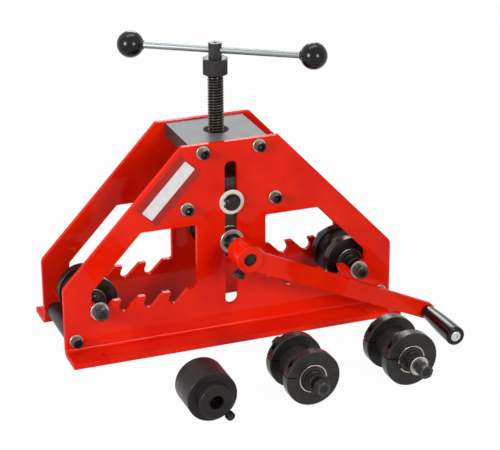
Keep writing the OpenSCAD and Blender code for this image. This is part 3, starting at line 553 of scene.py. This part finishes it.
def polished_race(name):
    """Ground bearing steel: a bright ring with a slightly warm cast."""
    material, tree, at = start_material(name)
    tint = between(tree, cloud(tree, at, 4), colour("#A39C8C"), colour("#C0B9AA"))
    finish_material(tree, {
        "Base Color": tint, "Metallic": 0.95,
        "Roughness": spread(tree, cloud(tree, at, 1.5), 0.20, 0.32)})
    return material


def rubber(name):
    """Nitrile bearing seal: matt black with a faint brown cast."""
    material, tree, at = start_material(name)
    tint = between(tree, cloud(tree, at, 3), colour("#1B1918"), colour("#262221"))
    finish_material(tree, {
        "Base Color": tint, "Roughness": spread(tree, cloud(tree, at, 1), 0.55, 0.7),
        "Normal": bump(tree, cloud(tree, at, 0.5), 0.01, 0.4)})
    return material


def phenolic(name, tone="#040405"):
    """Moulded black phenolic: deep black with a polish that shows the lamps as soft spots, and
    a trace of flow marks about 12 mm long."""
    material, tree, at = start_material(name)
    tint = between(tree, cloud(tree, at, 12), colour(tone), colour("#0A0A0C"))
    finish_material(tree, {
        "Base Color": tint, "Roughness": spread(tree, cloud(tree, at, 6), 0.14, 0.19),
        "Specular IOR Level": 0.28,
        "Normal": bump(tree, cloud(tree, at, 12, 1.0), 0.02, 0.06)})
    return material


def vinyl(name, tone, shade):
    """Printed vinyl film: an even colour with a satin face and faint ripples."""
    material, tree, at = start_material(name)
    tint = between(tree, cloud(tree, at, 8), colour(tone), colour(shade))
    finish_material(tree, {
        "Base Color": tint, "Roughness": spread(tree, cloud(tree, at, 4), 0.35, 0.45),
        "Specular IOR Level": 0.25,
        "Normal": bump(tree, cloud(tree, at, 5, 1.0), 0.02, 0.3)})
    return material


RED_ENAMEL = enamel("red_gloss_enamel")
BLACK_STEEL = scaled_steel("blackened_steel")
YOKE_STEEL = scaled_steel("mill_scale_yoke", "#3A302B", "#4A3E38", 0.36)
BOLT_STEEL = scaled_steel("blackened_bolt_steel", "#1E1D1E", "#2B2727", 0.2)
SCREW_END_STEEL = scaled_steel("blackened_screw_end", "#2B2928", "#3A3634")
HEXAGON_STEEL = scaled_steel("blackened_hexagon", "#252424", "#302E2D")
# The cap screw heads are one steel in two colours: the core, with its face and socket, is painted
# darker as shade, and the knurled sleeve is painted lighter as sheen.
SOCKET_STEEL_PAINTED_SHADE = scaled_steel("blackened_socket_steel_painted_shade", "#131213", "#1B1919", 0.13)
KNURL_STEEL_PAINTED_SHEEN = scaled_steel("knurl_steel_painted_sheen", "#474644", "#5A5855", 0.2)
NUT_STEEL = scaled_steel("oiled_nut_steel", "#383736", "#484644", 0.2)
ZINC_PLATE = zinc_plate("bright_zinc_plate", "#8B9091", "#858A8C", 0.36, 0.0)
PIN_WASHER_ZINC = washer_zinc("thick_zinc_washer")
WASHER_ZINC = zinc_plate("passivated_zinc_washer", "#C2BFB2", "#A9AAA1", 0.34)
SPINDLE_ZINC = zinc_plate("zinc_spindle", "#CFD6CD", "#BDC4BB", 0.34)
BLOCK_STEEL = ground_block("ground_block_steel")
RACE_STEEL = polished_race("ground_race_steel")
SEAL_RUBBER = rubber("nitrile_seal")
BLACK_PHENOLIC = phenolic("polished_black_phenolic")
GRIP_PLASTIC = phenolic("moulded_grip_plastic", "#0D0C0D")
SHAFT_OXIDE = oxide("turned_oxide_shaft", (0, 0, SHAFT_Z))
PIN_OXIDE = oxide("turned_oxide_pin", (0, 0, PIN_Z))


# Frame

def plates():
    """The two side plates, each bent along its foot."""
    for node in ("front_plate", "rear_plate"):
        eased(node, RED_ENAMEL, "frame", 0.8)


def block_and_spacers():
    """What stands between the side plates."""
    eased("top_block", BLOCK_STEEL, "frame", 0.5)
    rod = lathe(bar_outline(12.5, 2 * PLATE_IN, 1))
    for node, (x, z) in (("mid_spacers", CAP_PLACES[1]), ("foot_spacers", CAP_PLACES[2])):
        rods = [out_y(rod, side * x, -PLATE_IN, z) for side in (-1, 1)]
        piece(node + "_turned", rods, BLACK_STEEL, "frame", (node,))


def cap_fixings():
    """The twelve cap screws and their washers. The heads are turned a little differently."""
    washer_t, shank_r, shank_len, sunk = 2, CAP_D / 2, 31, 1
    seat = PLATE_OUT + washer_t
    washer = tube(2 * CAP_D, CAP_D + 0.2, washer_t, 0.4, 72)
    knurl, core = socket_head(16, 10, 8)
    shank = lathe([(0, 0), (shank_r, 0), (shank_r, shank_len), (0, shank_len)], 0.3, 32)
    washers, screws, knurls = [], [], []
    for front in (True, False):
        for side in (-1, 1):
            for k, (x, z) in enumerate(CAP_PLACES):
                washers.append(out_y(washer, side * x, PLATE_OUT, z, front))
                spin = 17 * (k + side) + 8
                knurls.append(out_y(knurl, side * x, seat, z, front, spin))
                screws.append(out_y(core, side * x, seat, z, front, spin))
                screws.append(out_y(shank, side * x, seat + sunk - shank_len, z, front))
    piece("screw_washers_plated", washers, WASHER_ZINC, "frame", ("screw_washers",))
    # The knurled sleeves carry a painted sheen and the cores a painted shade.
    piece("cap_screw_knurls", knurls, KNURL_STEEL_PAINTED_SHEEN, "frame", ("cap_screws",))
    piece("cap_screw_cores", screws, SOCKET_STEEL_PAINTED_SHADE, "frame", ("cap_screws",))


# Carriage and what turns in it

def bearings(body, node, places):
    """Ball bearings: two races with rounded corners, and seals sunk between them with a lip.
    Each place is the point on the axis where the bearing starts, and the axis."""
    outer, inner, w = BEARING_D / 2, SHAFT_BORE / 2, BEARING_W
    race, rim, dip = 2.5, 0.8, 1.3
    seal_in, seal_out = inner + race, outer - race
    race_out = lathe([(seal_out, 0), (outer, 0), (outer, w), (seal_out, w)], 0.6, 96, True)
    race_in = lathe([(inner, 0), (seal_in, 0), (seal_in, w), (inner, w)], 0.5, 96, True)
    seal = lathe([(seal_in, rim), (inner + 4, rim), (inner + 4.6, dip), (outer - 4, dip),
                  (outer - 3.4, rim), (seal_out, rim), (seal_out, w - rim),
                  (outer - 3.4, w - rim), (outer - 4, w - dip), (inner + 4.6, w - dip),
                  (inner + 4, w - rim), (seal_in, w - rim)], 0.2, 96, True)
    races, seals = [], []
    for origin, axis in places:
        races += [aim(race_out, origin, axis), aim(race_in, origin, axis)]
        seals.append(aim(seal, origin, axis))
    piece(node + "_races", races, RACE_STEEL, body, (node,))
    piece(node + "_seals", seals, SEAL_RUBBER, body, (node,))


def turned_pin(node, z, finish, body):
    """A ground pin or shaft along Y, as long as its node, with chamfered ends and a circlip
    groove beyond the washer on each side plate."""
    front, back = -low(node)[1], high(node)[1]
    r, deep = SHAFT_D / 2, 0.5
    bar = bar_outline(r, front + back, 1)
    cuts = []
    for g in (front - CLIP_SEAT - CLIP_W, front + CLIP_SEAT):
        cuts += [(r, g), (r - deep, g), (r - deep, g + CLIP_W), (r, g + CLIP_W)]
    pin = lathe(bar[:3] + cuts + bar[3:], 0.12)
    piece(node + "_turned", [aim(pin, (0, -front, z), BACK)], finish, body, (node,))


def pin_washers(node, z, d, body, finish):
    """The two washers of a pin or shaft, which slide on the side plates."""
    ring = tube(d, SHAFT_BORE, SHAFT_WASHER_T)
    rings = pair_y(ring, 0, PLATE_OUT + GAP, z)
    piece(node + "_plated", rings, finish, body, (node,))


def carriage():
    """The yoke, its guide pin and the bearings of the drive shaft."""
    eased("carriage_yoke", YOKE_STEEL, "carriage", 0.7)
    turned_pin("guide_pin", PIN_Z, PIN_OXIDE, "carriage")
    pin_washers("guide_pin_washers", PIN_Z, 38, "carriage", PIN_WASHER_ZINC)
    eased("guide_pin_circlips", BOLT_STEEL, "carriage", 0.25)
    cheek = high("carriage_yoke")[1]
    bearings("carriage", "shaft_bearings", [((0, -cheek, SHAFT_Z), BACK),
                                            ((0, cheek, SHAFT_Z), FRONT)])


def press_screw():
    """The screw from its tip up: plain tip with a circlip groove, thread, plain head with a
    centre mark, and the hexagon that is pressed onto the head."""
    crest_r, pitch, depth = 12, 4.25, 2.1
    tip_r, groove_r, groove, shoulder = 8, 7.5, 225.2, 243.2
    head_r, mark_r, overlap = 10, 3, 0.5
    foot, top = low("press_screw")[2], high("press_screw")[2]
    hex_z = low("screw_hex")[2]
    tip = lathe([(0, foot), (tip_r - 1, foot), (tip_r, foot + 1), (tip_r, groove),
                 (groove_r, groove), (groove_r, groove + CLIP_W), (tip_r, groove + CLIP_W),
                 (tip_r, shoulder), (0, shoulder)], 0.15)
    stem = aim(thread(2 * crest_r, pitch, hex_z + 2 * overlap - shoulder, depth),
               (0, 0, shoulder))
    head = lathe([(0, hex_z + overlap), (head_r, hex_z + overlap), (head_r, top - 1),
                  (head_r - 1, top), (mark_r, top), (1, top - 2), (0, top - 3)], 0.2)
    # The thread's material paints shade into the grooves and a highlight, partly wear, onto the
    # crests.
    thread_wear_and_shade = thread_wear_and_painted_shade("oxide_thread_wear_and_painted_shade", crest_r, crest_r - depth)
    piece("press_screw_thread", [stem], thread_wear_and_shade, "screw", ("press_screw",), 24)
    piece("press_screw_ends", [tip, head], SCREW_END_STEEL, "screw", ("press_screw",),
          24)
    nut = hexagon(36, 24, 2 * head_r + 0.1, both=True, turns=144)
    piece("screw_hex_milled", [aim(nut, (0, 0, hex_z), spin=9.1)], HEXAGON_STEEL, "screw",
          ("screw_hex",))
    eased("screw_circlip", BOLT_STEEL, "screw", 0.25)


def cross_bar():
    """The sliding bar and its two ball knobs; each ball runs into its neck by a small fillet.
    The reach is from the bar's middle to a ball's, and the bar ends inside the ball."""
    turn, reach, inside = math.radians(-34.2), 137.5, 4
    bar_r, ball_r, neck_r, neck, neck_top, hole = 5, 20, 7, 18.9, 20.2, 1.5
    along = np.array([math.cos(turn), math.sin(turn), 0])
    centre = middle("tee_bar")
    half = reach - inside
    bar = lathe(bar_outline(bar_r, 2 * half, 1), 0.2)
    piece("tee_bar_plated", [aim(bar, centre - along * half, along)], ZINC_PLATE, "cross_bar",
          ("tee_bar",))
    a = np.radians(np.linspace(-90, 67, 44))
    ball = [(ball_r * math.cos(t), ball_r * math.sin(t)) for t in a[1:]]
    outline = [(0, -ball_r)] + ball + [
        (neck_r, neck), (neck_r, neck_top), (bar_r + 0.05, neck_top),
        (bar_r + 0.05, neck_top - hole), (0, neck_top - hole)]
    knob = lathe(outline, 0.25, 96)
    knobs = [aim(knob, centre + along * reach * s, -along * s) for s in (-1, 1)]
    piece("ball_knobs_moulded", knobs, BLACK_PHENOLIC, "cross_bar", ("ball_knobs",),
          40)


def groove_outline(bore, seat=0, waist=0):
    """Half outline of a grooved roller as (radius, y): flange faces, softened rims and a round
    groove whose centre lies a little outside the flange radius. With a seat that deep at each
    end, the bore narrows to the waist between them."""
    r, e, groove_r, lift = ROLLER_D / 2, ROLLER_END, 16, 1
    half = math.acos(lift / groove_r)
    arc = [(r + lift - groove_r * math.cos(t), groove_r * math.sin(t))
           for t in np.linspace(-half, half, 33)]
    points = [(bore, -e), (r - 1, -e), (r, 1 - e)] + arc + [(r, e - 1), (r - 1, e), (bore, e)]
    if seat:
        points += [(bore, e - seat), (waist, e - seat), (waist, seat - e), (bore, seat - e)]
    return points


def drive():
    """The shaft and what turns with it."""
    turned_pin("drive_shaft", SHAFT_Z, SHAFT_OXIDE, "drive")
    body = lathe(groove_outline(SHAFT_BORE / 2), 0.4, 144, loop=True)
    piece("centre_roller_turned", [out_y(body, 0, 0, SHAFT_Z)], SHAFT_OXIDE, "drive",
          ("centre_roller",), 24)
    lock_d = 8
    lock = low("centre_roller_screw")
    piece("centre_roller_lock",
          [aim(small_screw(lock_d, 10), (0, lock[1] + lock_d / 2, lock[2]))],
          BOLT_STEEL, "drive", ("centre_roller_screw",))
    spacer = tube(27, SHAFT_BORE, 11.4)
    piece("shaft_spacers_turned", pair_y(spacer, 0, ROLLER_END + 0.1, SHAFT_Z), SHAFT_OXIDE,
          "drive", ("shaft_spacers",))
    pin_washers("shaft_washers", SHAFT_Z, 37, "drive", WASHER_ZINC)
    eased("shaft_circlips", BOLT_STEEL, "drive", 0.25)
    eased("crank_hub", RED_ENAMEL, "drive", 0.7)
    eased("crank_arm", RED_ENAMEL, "drive", 1.1)


def clamp_bolt():
    """The bolt under the crank hub that clamps it to the shaft: its thread starts just outside
    the shaft, and the head stands clear of the hub."""
    turn, thread_start, head_start, head_spin = math.radians(18.7), 10.1, 28.4, 20
    down = np.array([-math.sin(turn), 0, -math.cos(turn)])
    centre = np.array([0, middle("crank_hub")[1], SHAFT_Z])
    ribs = thread(10, 1.5, 19, 0.8, turns=48)
    shapes = [aim(ribs, centre + down * thread_start, down),
              aim(hexagon(16, 7), centre + down * head_start, down, head_spin)]
    piece("hub_clamp_bolt_threaded", shapes, BOLT_STEEL, "drive", ("hub_clamp_bolt",))


def grip():
    """The revolving grip swells by a quarter sine from its root to its belly, and its nose is
    bored for the head of the spindle."""
    lo, hi = low("crank_grip"), high("crank_grip")
    centre = (lo + hi) / 2
    length = hi[1] - lo[1]
    root, belly, nose = 10.5, (hi[0] - lo[0]) / 2, 3
    spindle_r, spindle_len, head_d, head_h, sunk = 5, 100, 16, 4, 4.2
    bore, counterbore = spindle_r + 0.05, head_d / 2 + 0.2
    run = length - nose
    side = [(root + (belly - root) * math.sin(math.pi / 2 * t), 1 + (run - 1) * t)
            for t in np.linspace(0, 1, 24)]
    cap = [(belly - nose + nose * math.cos(u), run + nose * math.sin(u))
           for u in np.linspace(0.2, math.pi / 2, 7)]
    outline = ([(bore, 0), (root - 1, 0)] + side + cap
               + [(counterbore, length), (counterbore, length - sunk), (bore, length - sunk)])
    body = lathe(outline, 0.2, 96, loop=True)
    piece("crank_grip_moulded", [aim(body, (centre[0], hi[1], centre[2]), FRONT)],
          GRIP_PLASTIC, "grip", ("crank_grip",), 40)
    rod = lathe([(0, 0), (spindle_r, 0), (spindle_r, spindle_len), (0, spindle_len)], 0.2, 64)
    back = high("grip_spindle")[1]
    head = aim(socket_disc(head_d, head_h, 6), (centre[0], lo[1] + head_h, centre[2]), FRONT)
    piece("grip_spindle_turned", [aim(rod, (centre[0], back, centre[2]), FRONT), head],
          SPINDLE_ZINC, "drive", ("grip_spindle",))


# Outer rollers

def axle_stud(centre, along):
    """A turned stud: plain between its shoulders, threaded beyond them, with chamfered ends.
    The thread starts a little inside the shoulder."""
    plain_r, inside, tip_len, tip_r = 7, 0.5, 2, 5.9
    centre, along = np.array(centre, float), np.array(along, float)
    shank = lathe(bar_outline(plain_r, NUT_SEAT * 2, 0.5), 0.1, 64)
    shapes = [aim(shank, centre - along * NUT_SEAT, along)]
    ribs = thread(12, 1.75, STUD_END - NUT_SEAT - inside, 0.9)
    tip = lathe([(0, 0), (tip_r, 0), (tip_r, 1.1), (4.8, tip_len), (0, tip_len)], 0.25, 64)
    for way in (along, -along):
        shapes.append(aim(ribs, centre + way * (NUT_SEAT - inside), way))
        shapes.append(aim(tip, centre + way * (STUD_END - tip_len), way))
    return shapes


def axle_nuts(centre, along, spin):
    """The two nuts of a stud, chamfered on both faces."""
    centre, along = np.array(centre, float), np.array(along, float)
    nut = hexagon(19, NUT_H, 12.2, both=True)
    return [aim(nut, centre + way * NUT_SEAT, way, spin) for way in (along, -along)]


def axle_washer():
    """A plated washer of a stud, standing on z = 0."""
    return tube(28, 14.2, 2.5, 0.4)


def bush(face, end):
    """A stepped bush on its axis, from its nose in the bearing to its outer end. Its shoulder
    bears on the bearing at the face given. All are distances from the roller's middle."""
    bore, nose_r, neck_r, step, rim_r = 7.2, 10, 13, 2, 15
    return lathe([(bore, BUSH_NOSE), (nose_r, BUSH_NOSE), (nose_r, face), (neck_r, face),
                  (neck_r, face + step), (rim_r - 0.5, face + step), (rim_r, face + step + 0.5),
                  (rim_r, end - 0.7), (rim_r - 0.7, end), (bore, end)], 0.2, 96, loop=True)


def outer_roller(side):
    """A grooved roller on the machine with its axle; the side is -1 at the left and 1 at the
    right."""
    name = "left" if side < 0 else "right"
    x = side * AXLE_X
    axle, wheel = name + "_axle", name + "_wheel"
    finish = oxide("turned_oxide_" + name, (x, 0, AXLE_Z))
    seat = BEARING_W + BEARING_SUNK
    body = lathe(groove_outline(BEARING_BORE / 2, seat, ROLLER_WAIST / 2), 0.4, 144, loop=True)
    piece(name + "_roller_turned", [out_y(body, x, 0, AXLE_Z)], finish, wheel,
          (name + "_roller",), 24)
    start = ROLLER_END - BEARING_SUNK
    bearings(wheel, name + "_roller_bearings", [((x, -start, AXLE_Z), BACK),
                                                ((x, start, AXLE_Z), FRONT)])
    bushes = pair_y(bush(start + GAP, PLATE_IN - GAP), x, 0, AXLE_Z)
    piece(name + "_axle_bushes_turned", bushes, finish, axle, (axle + "_bushes",))
    centre = (x, 0, AXLE_Z)
    piece(name + "_axle_stud_threaded", axle_stud(centre, BACK), BOLT_STEEL, axle,
          (axle + "_stud",))
    piece(name + "_axle_nuts_chamfered", axle_nuts(centre, BACK, 30 + 4 * side), NUT_STEEL,
          axle, (axle + "_nuts",))
    rings = pair_y(axle_washer(), x, PLATE_OUT + GAP, AXLE_Z)
    piece(name + "_axle_washers_plated", rings, WASHER_ZINC, axle, (axle + "_washers",))


# Spare rollers

def plain_roller():
    """The plain roller on the bench: a hub of smaller radius in front, and its lock screw."""
    x, y, z = PLAIN_PLACE
    finish = oxide("turned_oxide_plain", PLAIN_PLACE, tone="#171515", warm="#231D1D", rough=0.38)
    bore, hub_r, hub_len, r, length = SHAFT_BORE / 2, 24.5, 17, 36, 54
    body = lathe([(bore, -hub_len), (hub_r - 1, -hub_len), (hub_r, 1 - hub_len), (hub_r, 0),
                  (r - 1, 0), (r, 1), (r, length - 1), (r - 1, length), (bore, length)],
                 0.5, 144, loop=True)
    piece("plain_roller_turned", [aim(body, (x, y, z), BACK)], finish, "plain",
          ("plain_roller",), 24)
    turn, screw_back, thread_start, head_start = math.radians(52), -12, 11, 29.5
    out = np.array([math.cos(turn), 0, -math.sin(turn)])
    centre = np.array([x, y + screw_back, z])
    shapes = [aim(thread(8, 1.25, 19, 0.7, turns=48), centre + out * thread_start, out)]
    shapes += [aim(part, centre + out * head_start, out)
               for part in socket_head(12.8, 8, 6.4)]
    piece("plain_roller_cap_screw", shapes, BOLT_STEEL, "plain", ("plain_roller_screw",))


def collar_roller(name, screw_angle, nut_stand, nut_spin, washer):
    """A drum with two split collars on it, its bearings and its spare axle. The stand is from
    the near bush's outer face to the near nut's seat."""
    place, turn = DRUM_PLACES[name]
    t = math.radians(turn)
    back, right = np.array([-math.sin(t), math.cos(t), 0]), np.array([math.cos(t), math.sin(t), 0])
    near = np.array(place, float)
    mid, far = near + back * DRUM_LEN / 2, near + back * DRUM_LEN
    finish = oxide("turned_oxide_" + name, place, turn, "#262423", "#302D2A", 0.29)
    seat = BEARING_W + BEARING_SUNK
    bore, waist, r = BEARING_BORE / 2, ROLLER_WAIST / 2, 26
    core = lathe([(bore, 0), (r, 0), (r, DRUM_LEN), (bore, DRUM_LEN), (bore, DRUM_LEN - seat),
                  (waist, DRUM_LEN - seat), (waist, seat), (bore, seat)], 0.3, 144, loop=True)
    piece(name + "_turned", [aim(core, near, back)], finish, name + "_body", (name,))
    bearings(name + "_body", name + "_bearings", [(near + back * BEARING_SUNK, back),
                                                  (far - back * BEARING_SUNK, -back)])
    for end in ("near", "far"):
        body = name + "_" + end
        eased(body + "_collar", finish, body, 0.3)
        eased(body + "_screw", BOLT_STEEL, body, 0.2)
    axle = name + "_axle"
    bush_end = PLATE_IN - GAP
    shape = bush(DRUM_LEN / 2 - BEARING_SUNK + GAP, bush_end)
    bushes = [aim(shape, mid, back * s) for s in (-1, 1)]
    piece(name + "_bushes_turned", bushes, finish, axle, (name + "_bushes",))
    bush_out = bush_end - DRUM_LEN / 2
    a = math.radians(screw_angle)
    out = right * math.cos(a) + np.array([0, 0, -math.sin(a)])
    screw_stand, thread_start, head_start = 11, 7.4, 17
    spot = near - back * screw_stand
    shapes = [aim(thread(5, 0.8, 11, 0.45, turns=32), spot + out * thread_start, out)]
    shapes += [aim(part, spot + out * head_start, out) for part in socket_head(8, 8, 4, 24)]
    piece(name + "_bush_cap_screw", shapes, BOLT_STEEL, axle, (name + "_bush_screw",))
    centre = near - back * (bush_out + nut_stand - NUT_SEAT)
    piece(name + "_stud_threaded", axle_stud(centre, back), BOLT_STEEL, axle,
          (name + "_stud",))
    piece(name + "_nuts_chamfered", axle_nuts(centre, back, nut_spin), NUT_STEEL, axle,
          (name + "_nuts",))
    if washer:
        ring = aim(axle_washer(), near - back * (bush_out + 5.5), back)
        piece(name + "_washer_plated", [ring], WASHER_ZINC, axle, (name + "_washer",))


# The label on the left strut: a plain white film on a wider dark red one

def film(name, length, width, lift, finish):
    """A thin film with rounded corners on the front plate's outer face, a rectangle of the given
    length along the slope of the left strut. It stands lift in front of the plate."""
    centre, slope, corner_r, thickness = (-96.8, 237.8), math.radians(46.65), 1.5, 0.12
    along = np.array([math.cos(slope), math.sin(slope)])
    across = np.array([-math.sin(slope), math.cos(slope)])
    corners = [(-1, -1), (1, -1), (1, 1), (-1, 1)]
    rect = softened([(length / 2 * u, width / 2 * v) for u, v in corners], corner_r, True, 6)
    flat = np.array(centre) + rect[:, :1] * along + rect[:, 1:] * across
    n = len(flat)
    points = np.vstack([np.column_stack([flat[:, 0], np.full(n, -PLATE_OUT - d), flat[:, 1]])
                        for d in (lift, lift + thickness)])
    k = np.arange(n)
    sides = np.stack([k, (k + 1) % n, (k + 1) % n + n, k + n], 1).tolist()
    piece(name, [(points, sides + [list(range(n))[::-1], list(range(n, 2 * n))])], finish,
          "frame")


def label():
    """The white film and the dark red one behind it."""
    film("label_backing_film", 103, 45, 0.01, vinyl("dark_red_vinyl", "#A82320", "#9A201E"))
    film("label_white_film", 98, 20, 0.14, vinyl("white_vinyl", "#DEDCDD", "#D2D1D3"))


# Stage

def camera():
    """The photograph's viewpoint, from a fit of the machine's corners to the picture. The focal
    length is a share of the picture's width."""
    focal_share, sensor = 1804.12 / 500, 36
    heading, dip, roll = (math.radians(v) for v in (20.891, 22.246, -0.248))
    eye = np.array((-854.34, -2377.91, 1179.74))
    ahead = np.array([math.sin(heading) * math.cos(dip), math.cos(heading) * math.cos(dip),
                      -math.sin(dip)])
    right = np.array([math.cos(heading), -math.sin(heading), 0])
    up = np.cross(right, ahead)
    x = math.cos(roll) * right + math.sin(roll) * up
    y = math.cos(roll) * up - math.sin(roll) * right
    data = bpy.data.cameras.new("photo_camera")
    data.sensor_fit = 'HORIZONTAL'
    data.sensor_width = sensor
    data.lens = focal_share * sensor
    data.clip_end = 50
    obj = bpy.data.objects.new("photo_camera", data)
    turn = Matrix((Vector(x), Vector(y), Vector(-ahead))).transposed().to_4x4()
    obj.matrix_world = Matrix.Translation(Vector(eye * MM)) @ turn
    bpy.context.scene.collection.objects.link(obj)
    bpy.context.scene.camera = obj


def lamp(name, place, size, watts):
    """A rectangular lamp at a place in metres, aimed at the middle of the machine. The camera
    doesn't see it."""
    target = Vector((0, -0.05, 0.15))
    data = bpy.data.lights.new(name, 'AREA')
    data.shape = 'RECTANGLE'
    data.size, data.size_y = size
    data.energy = watts
    obj = bpy.data.objects.new(name, data)
    obj.location = place
    obj.rotation_euler = (target - Vector(place)).to_track_quat('-Z', 'Y').to_euler()
    obj.visible_camera = False
    bpy.context.scene.collection.objects.link(obj)


def seen_ray(tree):
    """1 where the camera, a reflection or something clear looks, and 0 for the light itself."""
    path = add(tree, "ShaderNodeLightPath")
    plain = add(tree, "ShaderNodeMath", {0: path.outputs["Is Camera Ray"],
                                         1: path.outputs["Is Glossy Ray"]}, operation='MAXIMUM')
    seen = add(tree, "ShaderNodeMath", {0: plain.outputs[0],
                                        1: path.outputs["Is Transmission Ray"]},
               operation='MAXIMUM')
    return seen.outputs[0]


def studio():
    """Four soft lamps in a white room that itself gives little light."""
    lamp("left_softbox", (-2.6, -1.1, 1.2), (0.9, 1.1), 68)
    lamp("right_softbox", (0.6, -2.7, 1.17), (0.8, 0.9), 37)
    lamp("top_softbox", (0.0, 0.3, 2.2), (1.8, 0.7), 16)
    lamp("back_softbox", (0.75, 2.2, 1.45), (1.0, 0.7), 18)
    world = bpy.data.worlds.new("white_room")
    world.use_nodes = True
    tree = world.node_tree
    tree.nodes.clear()
    seen = seen_ray(tree)
    dim = add(tree, "ShaderNodeBackground", {"Color": (1, 1, 1, 1), "Strength": 0.2})
    white = add(tree, "ShaderNodeBackground", {"Color": (1, 1, 1, 1), "Strength": 1.0})
    both = add(tree, "ShaderNodeMixShader", {0: seen, 1: dim.outputs[0],
                                             2: white.outputs[0]})
    add(tree, "ShaderNodeOutputWorld", {"Surface": both.outputs[0]})
    bpy.context.scene.world = world


def floor():
    """A white floor that shows near white to the camera but keeps the soft shadows."""
    size, drop, glow_share = 6.0, 0.0005, 0.96
    points = [(-size, -size, 0), (size, -size, 0), (size, size, 0), (-size, size, 0)]
    mesh = bpy.data.meshes.new("floor")
    mesh.from_pydata(points, [], [[0, 1, 2, 3]])
    obj = bpy.data.objects.new("floor", mesh)
    obj.location = (0, 0, -drop)
    bpy.context.scene.collection.objects.link(obj)
    material = bpy.data.materials.new("white_paper_floor")
    material.use_nodes = True
    tree = material.node_tree
    tree.nodes.clear()
    matt = add(tree, "ShaderNodeBsdfDiffuse", {"Color": (0.6, 0.6, 0.6, 1)})
    glow = add(tree, "ShaderNodeEmission", {"Color": (1, 1, 1, 1), "Strength": 1.0})
    share = add(tree, "ShaderNodeMath", {0: seen_ray(tree), 1: glow_share},
                operation='MULTIPLY')
    both = add(tree, "ShaderNodeMixShader", {0: share.outputs[0], 1: matt.outputs[0],
                                             2: glow.outputs[0]})
    add(tree, "ShaderNodeOutputMaterial", {"Surface": both.outputs[0]})
    mesh.materials.append(material)


plates()
block_and_spacers()
cap_fixings()
carriage()
press_screw()
cross_bar()
drive()
clamp_bolt()
grip()
outer_roller(-1)
outer_roller(1)
plain_roller()
collar_roller("drum_a", 80, 3.8, 22, False)
collar_roller("drum_b", 180, 12.8, 10, True)
label()
camera()
studio()
floor()
bpy.context.scene.view_settings.view_transform = 'Standard'
